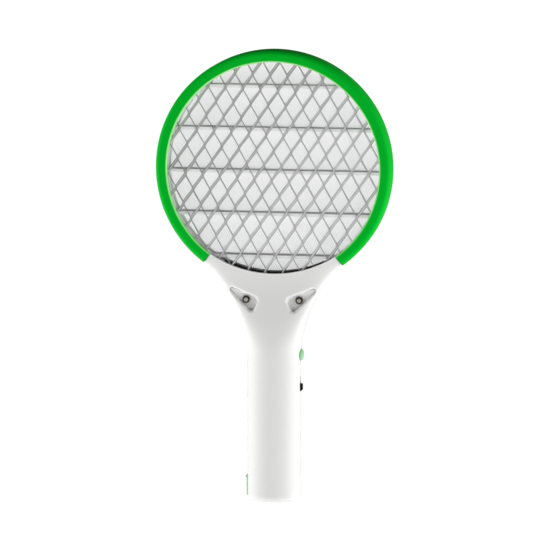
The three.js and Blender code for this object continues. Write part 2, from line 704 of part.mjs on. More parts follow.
function transformerWinding() {
  const { x, y, z } = TRANSFORMER;
  const outer = block([x - 5.3, x + 5.3], [y - 5.6, y + 5.6], [z - 3.8, z + 3.8]);
  return outer.subtract(block([x - 2.6, x + 2.6], [y - 2.9, y + 2.9], [z - 5, z + 5]));
}

function filmCapacitor(z) {
  const width = 13;
  const shape = roundedPolygon(
    [[-width / 2, z - 3], [width / 2, z - 3], [width / 2, z + 3], [-width / 2, z + 3]],
    [1.2, 1.2, 1.2, 1.2],
  );
  return slab(shape, ON_BOARD - 10, ON_BOARD, 4).translate([-2.5, 0, 0]);
}

function diode(z) {
  const middleY = ON_BOARD - PART_AXIS_HEIGHT;
  const body = bar('x', 1.35, [6, 11], [middleY, z], 12);
  return body.add(bar('x', PART_WIRE_RADIUS, [4.2, 12.2], [middleY, z], 8));
}

function transistor() {
  return bar('y', 2.4, [ON_BOARD - 5, ON_BOARD], [-8.5, 99.5], 16).subtract(
    block([-12, -10.1], [-FAR, FAR], [92, 107]),
  );
}

function resistor(z) {
  const middleY = ON_BOARD - PART_AXIS_HEIGHT;
  const body = bar('x', 1.15, [-10.5, -4.5], [middleY, z], 12);
  return body.add(bar('x', PART_WIRE_RADIUS, [-11.8, -3.2], [middleY, z], 8));
}

function indicatorLed() {
  const tipY = depthAt(LED_Z) + 0.6;
  const rimY = 8.4;
  const dome = arcPoints([0, tipY - LED_RADIUS], LED_RADIUS, 0, Math.PI / 2, 4);
  dome[dome.length - 1][0] = 0;
  const profile = [[0, rimY], [1.9, rimY], [1.9, rimY + 0.8], [LED_RADIUS, rimY + 0.8], ...dome];
  const lens = solid(turned('y', profile, 20).translate(0, 0, LED_Z));
  const legs = [-1.2, 1.2].map((x) => {
    const boardFront = BOARD_Y + BOARD_THICK + GAP;
    return block([x - 0.25, x + 0.25], [boardFront, rimY + 0.4], [LED_Z - 0.25, LED_Z + 0.25]);
  });
  return joined([lens, ...legs]);
}

// Leads, each from one soldered end to the other through the handle.
const LEADS = {
  cell_lead_red: {
    finish: 'redInsulation',
    route: [[2, -3.2, 74.8], [-4, -5, 78.5], [-9, -4, 80], [-10.5, 0, 81.5], [-10.5, 1.7, 84]],
  },
  cell_lead_black: {
    finish: 'blackInsulation',
    route: [
      [-3, -0.5, 6.4], [-6.5, -3.5, 8.6], [-8.5, -4.5, 30], [-8.5, -4.5, 60], [-7, 0, 78], [-6.5, 1.7, 84],
    ],
  },
  charge_lead_red: {
    finish: 'redInsulation',
    route: [[-8, 4.3, 18], [-9, 5.2, 30], [-9.5, 5.2, 60], [-5, 6.2, 80], [-1.5, 5.8, 86]],
  },
  charge_lead_black: {
    finish: 'blackInsulation',
    route: [
      [-11, 4.3, 18], [-11.5, 4.8, 30], [-12, 4.8, 60], [-11, 6, 78], [-7, 6, 81], [-4.5, 5.8, 86],
    ],
  },
  grid_lead_high: {
    finish: 'redInsulation',
    route: [[-4, 1.6, 148], [-5, -1, 153], [-3, -1.5, 162], [-1, 0, 170]],
  },
  grid_lead_rear: {
    finish: 'whiteInsulation',
    route: [[-8, 1.6, 147], [-9, -3, 153], [-8, -6.2, 162], [-7, -6.25, 171.8]],
  },
  grid_lead_front: {
    finish: 'whiteInsulation',
    route: [[3, 5.8, 147], [4, 6.2, 154], [6, 6.25, 162], [6, 6.25, 171.8]],
  },
};

// ---------------------------------------------------------------- the assembly

const zapper = new THREE.Group();

function add(name, finish, body) {
  const mesh = new THREE.Mesh(geometryOf(body), new THREE.MeshStandardMaterial(FINISHES[finish]));
  mesh.name = name;
  zapper.add(mesh);
}

add('rear_shell', 'whitePlastic', rearShell());
add('front_shell', 'whitePlastic', frontShell());
add('front_ring', 'greenPlastic', frontRing());
add('rear_ring', 'greenPlastic', mirroredToRear(frontRing()));
add('front_spacer', 'ribPlastic', frontSpacer());
add('rear_spacer', 'ribPlastic', mirroredToRear(frontSpacer()));
add('rear_net', 'netSteel', outerNet(-1));
add('front_net', 'netSteel', outerNet(1));
add('front_insulator', 'blackPlastic', frontInsulator());
add('rear_insulator', 'blackPlastic', mirroredToRear(frontInsulator()));
add('inner_net', 'netSteel', innerNet());
add('neck_screw_left', 'screwSteel', neckScrew(-1));
add('neck_screw_right', 'screwSteel', neckScrew(1));
add('zap_button', 'greenPlastic', pushButton());
add('power_knob', 'blackPlastic', slideKnob());
add('socket_flap', 'paleGreenRubber', socketFlap());
add('charging_socket', 'tin', chargingSocket());
add('socket_board', 'boardGreen', socketBoard());
add('battery_cell', 'cellWrap', cell());
add('cell_tab_plus', 'tin', cellTab(CELL_LOW_Z + CELL_LENGTH + GAP));
add('cell_tab_minus', 'tin', cellTab(CELL_LOW_Z - GAP - 0.4));
add('circuit_board', 'boardGreen', circuitBoard());
BOARD_SCREWS.forEach((centre, i) => add(`board_screw_${i + 1}`, 'screwSteel', boardScrew(centre)));
add('tact_switch', 'blackPlastic', tactSwitch());
add('power_switch_can', 'tin', slideSwitchCan());
add('transformer_core', 'ferrite', transformerCore());
add('transformer_winding', 'windingTape', transformerWinding());
CAPACITOR_ZS.forEach((z, i) => add(`film_capacitor_${i + 1}`, 'filmRed', filmCapacitor(z)));
DIODE_ZS.forEach((z, i) => add(`diode_${i + 1}`, 'blackPlastic', diode(z)));
add('transistor', 'blackPlastic', transistor());
RESISTOR_ZS.forEach((z, i) => add(`resistor_${i + 1}`, 'resistorTan', resistor(z)));
add('indicator_led', 'ledRed', indicatorLed());
for (const [name, { finish, route }] of Object.entries(LEADS)) add(name, finish, lead(route));

export default zapper;
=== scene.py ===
"""Looks of a hand-held racket bug zapper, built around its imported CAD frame.

All shape code works in millimetres and is scaled to metres when a mesh is made. The rear side, with the
screws, faces -Y, the button is on +X, the flap on -X, and the base stands on z = 0.
"""

import json
import math

import bmesh
import bpy
import numpy as np
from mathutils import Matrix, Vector

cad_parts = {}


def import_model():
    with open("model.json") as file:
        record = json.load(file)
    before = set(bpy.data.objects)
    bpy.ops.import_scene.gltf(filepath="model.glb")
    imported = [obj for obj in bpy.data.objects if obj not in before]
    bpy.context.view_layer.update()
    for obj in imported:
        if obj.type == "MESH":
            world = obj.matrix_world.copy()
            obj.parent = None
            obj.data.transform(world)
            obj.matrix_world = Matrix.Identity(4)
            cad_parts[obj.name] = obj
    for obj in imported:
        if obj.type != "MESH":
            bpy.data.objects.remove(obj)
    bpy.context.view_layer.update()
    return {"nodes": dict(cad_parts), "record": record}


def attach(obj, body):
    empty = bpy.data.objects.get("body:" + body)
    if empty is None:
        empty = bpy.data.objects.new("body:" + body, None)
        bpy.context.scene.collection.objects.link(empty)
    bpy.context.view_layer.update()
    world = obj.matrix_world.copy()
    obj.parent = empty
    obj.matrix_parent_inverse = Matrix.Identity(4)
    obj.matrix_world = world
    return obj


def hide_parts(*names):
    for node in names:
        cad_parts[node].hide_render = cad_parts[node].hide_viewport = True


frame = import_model()
MM = 0.001

# ---------------- sizes, in millimetres

RING_Z = 259.0
RING_OUTER, RING_INNER, RING_SEAT, RING_DEPTH, RING_LIP = 91.3, 82.1, 86.9, 10.0, 3.1
RING_CORNER, LIP_CORNER = 4.0, 1.4
NECK_ANGLE, RING_ANGLE = math.radians(36.2), math.radians(36.5)
NECK_LOW_Z = 178.5
HANDLE_W, HANDLE_D, HANDLE_TOP, NECK_DEEP = 21.0, 16.0, 114.0, 178.0
HANDLE_POWER, NECK_POWER = 2.0, 6.0
BASE_FILLET, WALL, FLOOR = 5.0, 2.2, 2.5
SEAM, SEAM_EDGE = 0.12, 0.4  # half the parting gap, and the rounding of the shells' edges there

NET_Y, NET_OUTER = 6.25, 86.5
DIAMOND_W, DIAMOND_H, NET_TURN = 13.5, 23.1, math.radians(-3.8)
REAR_NET_SHIFT, FRONT_NET_SHIFT = (-0.3, 2.4), (-2.2, 0.6)
WIDE_STRAND = {"width": 1.85, "thick": 0.5, "tilt": math.radians(-3), "lift": -0.05}
THIN_STRAND = {"width": 0.85, "thick": 0.55, "tilt": 0.0, "lift": 0.08}
SPACER_INNER, SPACER_NEAR, SPACER_FAR = 81.8, 0.65, 5.65
RIBS, RIB_PITCH, RIB_THICK, RIB_DROP = 5, 32.8, 2.4, 2.4

SCREW_X, SCREW_Z, POCKET_FLOOR = 20.6, 158.0, 7.6
POCKET = [(37.6, 169.6), (10.8, 158.8), (15.6, 147.9)]
POCKET_ROUND = [1.4, 3.2, 2.6]
POCKET_RIM, POCKET_WALL, BOSS_R, SCREW_HOLE_R = 2.4, 2.7, 3.6, 1.8
CELL_X, CELL_ROOM, PLATE_Z, PLATE_THICK = 5.5, 9.4, (32.0, 60.0), 1.6
BUTTON_Z, BUTTON_R, BUTTON_TIP, BUTTON_PLAY = 114.7, 4.5, 22.9, 0.35
LED_Z = 138.0
KNOB_Z, KNOB_TALL, KNOB_TRAVEL, KNOB_TIP = 86.7, 5.0, 6.0, 22.1
SLOT_HALF, SLOT_INSET, STEM_HALF, STEM_INSET = 1.4, 1.1, 1, 1.5
FLAP_LOW, FLAP_HINGE, SOCKET_Z = 3.6, 18.6, 11.2
MOUTH_HALF_Y, MOUTH_HALF_Z = 2.0, 4.9
THROUGH = 50  # a cut this deep goes on past the parting plane


# ---------------- mesh helpers

def on_ring(radius, angle):
    """x and z at an angle from straight down, about the head's centre."""
    return radius * math.sin(angle), RING_Z - radius * math.cos(angle)


def linked(obj):
    """Puts an object in the scene."""
    bpy.context.scene.collection.objects.link(obj)
    return obj


def new_object(name, points, faces):
    """A mesh object from points in millimetres, with its faces turned outward."""
    mesh = bpy.data.meshes.new(name)
    mesh.from_pydata([tuple(map(float, p)) for p in np.asarray(points) * MM], [], faces)
    mesh.update()
    tidy = bmesh.new()
    tidy.from_mesh(mesh)
    bmesh.ops.recalc_face_normals(tidy, faces=tidy.faces)
    tidy.to_mesh(mesh)
    tidy.free()
    return linked(bpy.data.objects.new(name, mesh))


def loft(name, rows):
    """A closed skin over rows of points, capped at both ends. Each row is closed on itself."""
    rows = np.asarray(rows, float)
    count, width = rows.shape[:2]
    faces = []
    for i in range(count - 1):
        a, b = i * width, (i + 1) * width
        faces += [(a + j, a + (j + 1) % width, b + (j + 1) % width, b + j) for j in range(width)]
    faces += [tuple(range(width)), tuple((count - 1) * width + j for j in range(width))]
    return new_object(name, rows.reshape(-1, 3), faces)


def box(name, xs, ys, zs):
    corners = lambda z: [(xs[0], ys[0], z), (xs[1], ys[0], z), (xs[1], ys[1], z), (xs[0], ys[1], z)]
    return loft(name, [corners(zs[0]), corners(zs[1])])


AXES = {"x": (1, 2, 0), "y": (0, 2, 1), "z": (0, 1, 2)}


def lathe(name, axis, profile, centre, sides=48):
    """Turns a profile of (radius, distance along the axis) points about an axis through centre.

    A profile whose first and last radius are 0 closes on the axis; another is closed on itself."""
    i, j, k = AXES[axis]
    points, faces, rows = [], [], []
    for radius, along in profile:
        row = []
        for s in range(1 if radius < 1e-9 else sides):
            angle = 2 * math.pi * s / sides
            p = [0.0, 0.0, 0.0]
            p[i], p[j], p[k] = radius * math.cos(angle), radius * math.sin(angle), along
            row.append(len(points))
            points.append([p[m] + centre[m] for m in range(3)])
        rows.append(row)
    pairs = list(zip(rows, rows[1:]))
    if len(rows[0]) > 1:
        pairs.append((rows[-1], rows[0]))
    for a, b in pairs:
        for s in range(sides):
            t = (s + 1) % sides
            quad = [a[s % len(a)], a[t % len(a)], b[t % len(b)], b[s % len(b)]]
            face = list(dict.fromkeys(quad))
            if len(face) > 2:
                faces.append(tuple(face))
    return new_object(name, points, faces)


def bar(name, axis, radius, span, centre, sides=32):
    """A round bar along an axis."""
    low, high = span
    return lathe(name, axis, [(0, low), (radius, low), (radius, high), (0, high)], centre, sides)


def arc(centre, radius, a0, a1, steps):
    """Points of an arc in a plane, angles in degrees."""
    angles = np.radians(np.linspace(a0, a1, steps + 1))
    return [(centre[0] + radius * math.cos(a), centre[1] + radius * math.sin(a)) for a in angles]


def baked(obj):
    """Replaces obj's mesh by what its modifiers make of it."""
    graph = bpy.context.evaluated_depsgraph_get()
    mesh = bpy.data.meshes.new_from_object(obj.evaluated_get(graph), depsgraph=graph)
    old = obj.data
    obj.modifiers.clear()
    obj.data = mesh
    bpy.data.meshes.remove(old)
    return obj


def combine(target, tools, operation="DIFFERENCE"):
    """Cuts, joins or intersects target with each tool in turn, and removes the tools."""
    for tool in tools if isinstance(tools, (list, tuple)) else [tools]:
        change = target.modifiers.new("cut", "BOOLEAN")
        change.operation, change.object, change.solver = operation, tool, "MANIFOLD"
        baked(target)
        bpy.data.objects.remove(tool)
    return target


def without_scraps(obj):
    """Keeps the largest connected body of a mesh and drops the slivers that a cut has left."""
    mesh = bmesh.new()
    mesh.from_mesh(obj.data)
    left, bodies = set(mesh.verts), []
    while left:
        todo, body = [left.pop()], []
        while todo:
            vert = todo.pop()
            body.append(vert)
            near = {edge.other_vert(vert) for edge in vert.link_edges} & left
            left -= near
            todo += near
        bodies.append(body)
    bodies.sort(key=len)
    bmesh.ops.delete(mesh, geom=[vert for body in bodies[:-1] for vert in body], context="VERTS")
    mesh.to_mesh(obj.data)
    mesh.free()
    return obj


def copy_of(obj, name):
    return linked(bpy.data.objects.new(name, obj.data.copy()))


def named(obj, name):
    obj.name = name
    return obj


def bevelled(obj, width, segments, angle):
    """Rounds the sharp edges by width millimetres."""
    edge = obj.modifiers.new("edges", "BEVEL")
    edge.width, edge.segments, edge.limit_method = width * MM, segments, "ANGLE"
    edge.angle_limit, edge.harden_normals, edge.use_clamp_overlap = math.radians(angle), False, True
    return baked(obj)


def smooth(obj, angle):
    """Smooth shading, but for edges sharper than angle degrees."""
    obj.data.polygons.foreach_set("use_smooth", [True] * len(obj.data.polygons))
    obj.data.set_sharp_from_angle(angle=math.radians(angle))
    obj.data.update()
    return obj


def piece(obj, body, slot, *nodes):
    """Puts a finished piece on its body, in place of its CAD nodes, with its slot's material."""
    obj.data.materials.clear()
    obj.data.materials.append(MATERIALS[slot])
    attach(obj, body)
    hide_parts(*nodes)
    return obj


# ---------------- the housing's form

def flare_table():
    """Half width against height over the flare, from a Bezier curve that ends square to the ring's end."""
    x, z = on_ring(RING_OUTER, NECK_ANGLE)
    reach = 24
    p = np.array([(HANDLE_W, HANDLE_TOP), (HANDLE_W, HANDLE_TOP + reach),
                  (x - reach * math.cos(NECK_ANGLE), z - reach * math.sin(NECK_ANGLE)), (x, z)])
    t = np.linspace(0, 1, 400)[:, None]
    curve = (1 - t) ** 3 * p[0] + 3 * t * (1 - t) ** 2 * p[1] + 3 * t * t * (1 - t) * p[2] + t ** 3 * p[3]
    beyond = [x + 40 / math.tan(NECK_ANGLE), z + 40]
    return np.vstack([[HANDLE_W, -50], curve, beyond])


FLARE = flare_table()
NECK_TOP_Z = on_ring(RING_OUTER, NECK_ANGLE)[1]


def flare(z):
    """0 in the handle, 1 at the head, with an even change between them."""
    t = np.clip((np.asarray(z, float) - HANDLE_TOP) / (NECK_DEEP - HANDLE_TOP), 0, 1)
    return t * t * (3 - 2 * t)


def level(z, inset=0.0):
    """Half width, half depth and oval power of the housing at height z."""
    z = np.asarray(z, float)
    low = np.clip(BASE_FILLET - z, 0, BASE_FILLET)
    pull = BASE_FILLET - np.sqrt(BASE_FILLET ** 2 - low ** 2) + inset
    width = np.interp(z, FLARE[:, 1], FLARE[:, 0]) - pull
    depth = HANDLE_D + (RING_DEPTH - HANDLE_D) * flare(z) - pull
    return width, depth, HANDLE_POWER + (NECK_POWER - HANDLE_POWER) * flare(z)


def depth_at(x, z):
    """Distance of the skin from the parting plane."""
    width, depth, power = level(z)
    return depth * np.clip(1 - np.abs(x / width) ** power, 1e-6, 1) ** (1 / power)


def width_at(y, z):
    """Distance of the skin from the plane x = 0."""
    width, depth, power = level(z)
    return width * np.clip(1 - np.abs(y / depth) ** power, 1e-6, 1) ** (1 / power)


def even(points, count):
    """count points at equal spacing along a polyline."""
    points = np.asarray(points, float)
    run = np.concatenate([[0], np.cumsum(np.linalg.norm(np.diff(points, axis=0), axis=1))])
    at = np.linspace(0, run[-1], count)
    return np.stack([np.interp(at, run, points[:, k]) for k in range(points.shape[1])], 1)


def half_section(z, side, inset=0.0, count=84):
    """One half of the oval at height z, from +X to -X, with rounded edges at the parting plane."""
    width, depth, power = (float(v) for v in level(z, inset))
    start = SEAM + SEAM_EDGE
    first = math.asin((start / depth) ** (power / 2))
    angles = first + (math.pi - 2 * first) * (1 - np.cos(np.linspace(0, math.pi, 900))) / 2
    c, s = np.cos(angles), np.sin(angles)
    oval = np.stack([width * np.sign(c) * np.abs(c) ** (2 / power), depth * s ** (2 / power)], 1)
    oval = even(oval, count)
    turn = np.radians([0, 22.5, 45, 67.5])
    lip = np.stack([oval[0, 0] - SEAM_EDGE + SEAM_EDGE * np.sin(turn), start - SEAM_EDGE * np.cos(turn)], 1)
    flat = np.vstack([lip, oval, (lip * [-1, 1])[::-1]])
    return np.stack([flat[:, 0], side * flat[:, 1], np.full(len(flat), z)], 1)


def full_section(z, inset, count=96):
    """The whole oval at height z, moved in by inset."""
    width, depth, power = (float(v) for v in level(z, 0))
    width, depth = width - inset, depth - inset
    angles = np.linspace(0, 2 * math.pi, 1200)
    c, s = np.cos(angles), np.sin(angles)
    oval = np.stack([width * np.sign(c) * np.abs(c) ** (2 / power),
                     depth * np.sign(s) * np.abs(s) ** (2 / power)], 1)
    oval = even(oval, count + 1)[:-1]
    return np.stack([oval[:, 0], oval[:, 1], np.full(count, z)], 1)


def fillet_levels():
    return [BASE_FILLET * (1 - math.cos(a)) for a in np.radians(np.linspace(0, 90, 9))]


def half_solid(side):
    top = NECK_TOP_Z + 12
    levels = [*fillet_levels(), *np.arange(6, HANDLE_TOP - 2, 4), *np.arange(HANDLE_TOP, top, 1.6), top]
    return loft("half", [half_section(z, side) for z in levels])


def cavity():
    """The hollow inside the housing, open at the top."""
    top = NECK_TOP_Z + 20
    levels = [FLOOR, FLOOR + 0.3, *np.arange(6, HANDLE_TOP - 2, 6), *np.arange(HANDLE_TOP, top, 3.2), top]
    return loft("cavity", [full_section(z, WALL + (0.5 if z == FLOOR else 0)) for z in levels])


# ---------------- cutters whose rims follow the surface

def facing(outline):
    """Outward directions at the points of a closed flat outline, long enough to keep its edges parallel."""
    before, after = np.roll(outline, 1, 0), np.roll(outline, -1, 0)
    x, z = outline.T
    turn = np.sign(np.sum(x * np.roll(z, -1) - np.roll(x, -1) * z))
    unit = lambda d: d / np.maximum(np.linalg.norm(d, axis=1, keepdims=True), 1e-9)
    one, two = unit(outline - before), unit(after - outline)
    normal = unit(unit(np.stack([one[:, 1], -one[:, 0]], 1)) + unit(np.stack([two[:, 1], -two[:, 0]], 1)))
    edge = np.stack([two[:, 1], -two[:, 0]], 1)
    return turn * normal / np.maximum(np.sum(normal * edge, 1, keepdims=True), 0.4)


def rim_rows(outline, out, place, radius, angles):
    """Rows from well outside the skin down a rounded rim."""
    wide = outline + out * (radius + 0.2)
    rows = [place(wide, -5.0), place(wide, -0.05)]
    for turn in np.radians(angles):
        rows.append(place(outline + out * radius * (1 - math.cos(turn)), radius * (1 - math.sin(turn))))
    return rows


def rim_cutter(name, outline, place, radius, depth, foot=0.0, draft=0.0):
    """A cutter that leaves a rounded rim. place(outline, t) gives the points at depth t under the surface.

    foot rounds the bottom of the cut, and draft narrows it on the way down."""
    outline = np.asarray(outline, float)
    out = facing(outline)
    rows = rim_rows(outline, out, place, radius, [78, 62, 46, 30, 15, 0])
    if foot:
        for turn in np.radians([0, 30, 60, 90]):
            inward = draft + foot * (1 - math.cos(turn))
            rows.append(place(outline - out * inward, ("foot", foot * (1 - math.sin(turn)))))
    else:
        rows.append(place(outline - out * draft, depth))
    return loft(name, rows)


def rear_place(side, floor):
    """Places outline points (x, z) on the rear or front skin.

    t is a depth under the skin, or ("foot", height) for a height above the flat floor."""
    def place(points, t):
        skin = depth_at(points[:, 0], points[:, 1])
        if isinstance(t, tuple):
            y = np.full(len(points), floor + t[1])
        else:
            y = skin - t if t < THROUGH else np.full(len(points), -5.0)
        return np.stack([points[:, 0], side * y, points[:, 1]], 1)
    return place


def side_place(side):
    """Places outline points (y, z) on the handle's left or right skin."""
    def place(points, t):
        x = width_at(points[:, 0], points[:, 1]) - t
        return np.stack([side * x, points[:, 0], points[:, 1]], 1)
    return place


def rounded(corners, radii, steps=8):
    """A closed outline with its corners rounded."""
    points = []
    for i, corner in enumerate(corners):
        here = np.array(corner, float)
        before = np.array(corners[i - 1]) - here
        after = np.array(corners[(i + 1) % len(corners)]) - here
        before, after = before / np.linalg.norm(before), after / np.linalg.norm(after)
        half = math.acos(np.clip(before @ after, -1, 1)) / 2
        reach = radii[i] / math.tan(half)
        centre = here + (before + after) / np.linalg.norm(before + after) * radii[i] / math.sin(half)
        a, b = here + before * reach - centre, here + after * reach - centre
        for s in range(steps + 1):
            mix = a * (1 - s / steps) + b * (s / steps)
            points.append(centre + mix / np.linalg.norm(mix) * radii[i])
    return np.array(points)


def dense(outline, step):
    """The same closed outline with extra points, so that no edge is longer than step."""
    points = []
    for a, b in zip(outline, np.roll(outline, -1, 0)):
        count = max(1, int(np.ceil(np.linalg.norm(b - a) / step)))
        points += [a + (b - a) * s / count for s in range(count)]
    return np.array(points)


def arc_under_net(x):
    """Height of the neck's curved upper edge."""
    end_x, end_z = on_ring(RING_INNER, NECK_ANGLE)
    rise = end_z - NECK_LOW_Z
    radius = (end_x ** 2 + rise ** 2) / (2 * rise)
    return NECK_LOW_Z + radius - np.sqrt(radius ** 2 - np.asarray(x, float) ** 2)


def above_neck(side):
    """Everything above the neck's curved edge and past the ring's two ends."""
    end_x, end_z = on_ring(RING_INNER, NECK_ANGLE)
    x = np.linspace(-end_x, end_x, 70)
    bow = np.stack([x, arc_under_net(x)], 1)
    end = np.array(on_ring(RING_OUTER + 30, NECK_ANGLE))
    ray = np.linspace([end_x, end_z], end, 24)[1:]
    far = [(end[0], 320), (-end[0], 320)]
    outline = np.vstack([bow, ray, far, (ray * [-1, 1])[::-1]])
    return rim_cutter("above_neck", outline, rear_place(side, 0), 0.5, THROUGH)


def cell_plate(side, z):
    """A cross wall round the battery cell, open for the cell and for the leads beside it."""
    plate = loft("plate", [half_section(h, side, 1.0) for h in (z, z + PLATE_THICK)])
    room = bar("room", "z", CELL_ROOM, (0, 120), (CELL_X, 0, 0), 48)
    leads = box("leads", (-15, -3), (-7, 7), (0, 120))
    return combine(plate, [room, leads])


def rear_fixing(s):
    """What one screw adds to the rear shell, a well and a boss, and what it cuts, a pocket and a hole."""
    centre = np.mean(POCKET, 0)
    grown = []
    for p in POCKET:
        away = np.array(p) - centre
        grown.append(tuple(centre + away * (1 + POCKET_WALL / np.linalg.norm(away))))
    outline = rounded([(s * x, z) for x, z in grown], POCKET_ROUND)
    rows = [[(x, y, z) for x, z in outline] for y in (-POCKET_FLOOR + 1.5, -14.0)]
    well = combine(loft("well", rows), skin_solid(), "INTERSECT")
    boss = bar("boss", "y", BOSS_R, (-POCKET_FLOOR + 1, -SEAM), (s * SCREW_X, 0, SCREW_Z))
    cut = dense(rounded([(s * x, z) for x, z in POCKET], POCKET_ROUND), 1.2)
    pocket = rim_cutter("pocket", cut, rear_place(-1, POCKET_FLOOR), POCKET_RIM, 0, foot=0.6, draft=0.3)
    hole = bar("hole", "y", SCREW_HOLE_R, (-20, 20), (s * SCREW_X, 0, SCREW_Z))
    return [well, boss], [pocket, hole]


def front_fixing(s):
    """The boss in the front shell that one screw bites into, and its hole."""
    boss = bar("boss", "y", BOSS_R, (SEAM, 15), (s * SCREW_X, 0, SCREW_Z))
    combine(boss, skin_solid(), "INTERSECT")
    hole = bar("hole", "y", SCREW_HOLE_R, (-1, 9.6), (s * SCREW_X, 0, SCREW_Z))
    return [boss], [hole]


def shell(side):
    """One half of the neck and handle, with everything cut in it."""
    body = combine(half_solid(side), cavity())
    combine(body, [cell_plate(side, z) for z in PLATE_Z], "UNION")
    extra, holes = [], []
    for s in (-1, 1):
        added, cut = rear_fixing(s) if side < 0 else front_fixing(s)
        extra += added
        holes += cut
    combine(body, extra, "UNION")
    seat = RING_DEPTH - RING_LIP
    button_rim = arc((0, BUTTON_Z), BUTTON_R + BUTTON_PLAY, 0, 360, 48)[:-1]
    slot_z = (KNOB_Z + SLOT_INSET, KNOB_Z + KNOB_TALL + KNOB_TRAVEL - SLOT_INSET)
    mouth_z = (SOCKET_Z - MOUTH_HALF_Z, SOCKET_Z + MOUTH_HALF_Z)
    holes += [
        above_neck(side),
        bar("seat", "y", RING_SEAT, (-seat, seat), (0, 0, RING_Z), 128),
        rim_cutter("button_hole", button_rim, side_place(1), 0.5, 12),
        knob_track(),
        box("knob_slot", (10, 30), (-SLOT_HALF, SLOT_HALF), slot_z),
        flap_recess(),
        box("mouth", (-30, -15), (-MOUTH_HALF_Y, MOUTH_HALF_Y), mouth_z),
    ]
    if side > 0:
        holes.append(bar("led_hole", "y", 1.8, (8, 30), (0, 0, LED_Z), 32))
    combine(body, holes)
    body.name = ("rear" if side < 0 else "front") + "_housing"
    return skinned(without_scraps(body))


def skin_solid():
    """A solid just under the housing's skin, which trims what stands inside it."""
    top = NECK_TOP_Z + 12
    levels = [0, *np.arange(2, top, 2.4), top]
    return loft("skin", [full_section(z, 0.3) for z in levels])


def sunk(name, outline, place, radius, depth):
    """A shallow recess whose floor follows the skin at a set depth."""
    outline = np.asarray(outline, float)
    rows = rim_rows(outline, facing(outline), place, radius, [78, 50, 25, 0])
    middle = outline.mean(0)
    for share in (1, 0.75, 0.5, 0.25, 0.04):
        rows.append(place(middle + (outline - middle) * share, depth))
    return loft(name, rows)


def upright(half, low, high, radii, step):
    """A rounded upright rectangle of (y, z) points, no further apart than step."""
    corners = [(-half, low), (half, low), (half, high), (-half, high)]
    return dense(rounded(corners, radii, 5), step)


def knob_track():
    """The shallow track that the knob slides in."""
    low, high = KNOB_Z - 0.5, KNOB_Z + KNOB_TALL + KNOB_TRAVEL + 0.5
    return sunk("knob_track", upright(3.4, low, high, [0.9] * 4, 1.5), side_place(1), 0.3, 1.2)


def flap_recess():
    """The recess that the flap lies in."""
    low, high = FLAP_LOW - 0.3, FLAP_HINGE + 1.3
    return sunk("flap_recess", upright(4.9, low, high, [1.2] * 4, 1.5), side_place(-1), 0.3, 1.4)


def form_value(p):
    """1 on the housing's skin, less inside it and more outside."""
    width, depth, power = level(p[:, 2])
    return np.abs(p[:, 0] / width) ** power + np.abs(p[:, 1] / depth) ** power


def read(items, key, width, kind=np.float32):
    """One attribute of every item of a mesh, as an array."""
    flat = np.zeros(len(items) * width, kind)
    items.foreach_get(key, flat)
    return flat.reshape(-1, width) if width > 1 else flat


def skinned(obj):
    """Gives the outer skin the exact normals of its form, so that cuts leave no ripples in the light."""
    smooth(obj, 38)
    mesh = obj.data
    corner = read(mesh.corner_normals, "vector", 3).astype(float)
    index = read(mesh.loops, "vertex_index", 1, np.int32)
    p = read(mesh.vertices, "co", 3).astype(float) / MM
    step = 0.01
    slope = np.stack([(form_value(p + step * e) - form_value(p - step * e)) for e in np.eye(3)], 1)
    size = np.linalg.norm(slope, axis=1, keepdims=True)
    away = np.abs(form_value(p) - 1) / np.maximum(size[:, 0] / (2 * step), 1e-9)
    normal = slope / np.maximum(size, 1e-12)
    corners = read(mesh.polygons, "loop_total", 1, np.int32)
    face_normal = np.repeat(read(mesh.polygons, "normal", 3), corners, axis=0)
    near = (away[index] < 0.03) & (p[index, 2] > BASE_FILLET)
    near &= np.abs(p[index, 1]) > SEAM + SEAM_EDGE * 0.9
    near &= np.sum(face_normal * normal[index], 1) > math.cos(math.radians(20))
    corner[near] = normal[index][near]
    mesh.normals_split_custom_set(corner.astype(np.float32).tolist())
    return obj


# ---------------- the head

def ring_profile():
    """Section of the front half of the head frame, as (radius, y)."""
    lip = RING_DEPTH - RING_LIP
    return np.array([
        (RING_SEAT, SEAM),
        *arc((RING_OUTER - SEAM_EDGE, SEAM + SEAM_EDGE), SEAM_EDGE, -90, 0, 4),
        *arc((RING_OUTER - RING_CORNER, RING_DEPTH - RING_CORNER), RING_CORNER, 0, 90, 12),
        *arc((RING_INNER + LIP_CORNER, RING_DEPTH - LIP_CORNER), LIP_CORNER, 90, 180, 7),
        *arc((RING_INNER + 0.3, lip + 0.3), 0.3, 180, 270, 3),
        (RING_SEAT, lip),
    ])


def swept(name, profile, stops, side):
    """Turns a section about the head's centre. stops are (angle from straight down, inset) pairs."""
    profile = np.asarray(profile, float)
    out, rows = facing(profile), []
    for angle, inset in stops:
        p = profile - out * inset
        turn = angle - math.pi / 2
        x, z = p[:, 0] * math.cos(turn), RING_Z + p[:, 0] * math.sin(turn)
        rows.append(np.stack([x, side * p[:, 1], z], 1))
    return loft(name, rows)


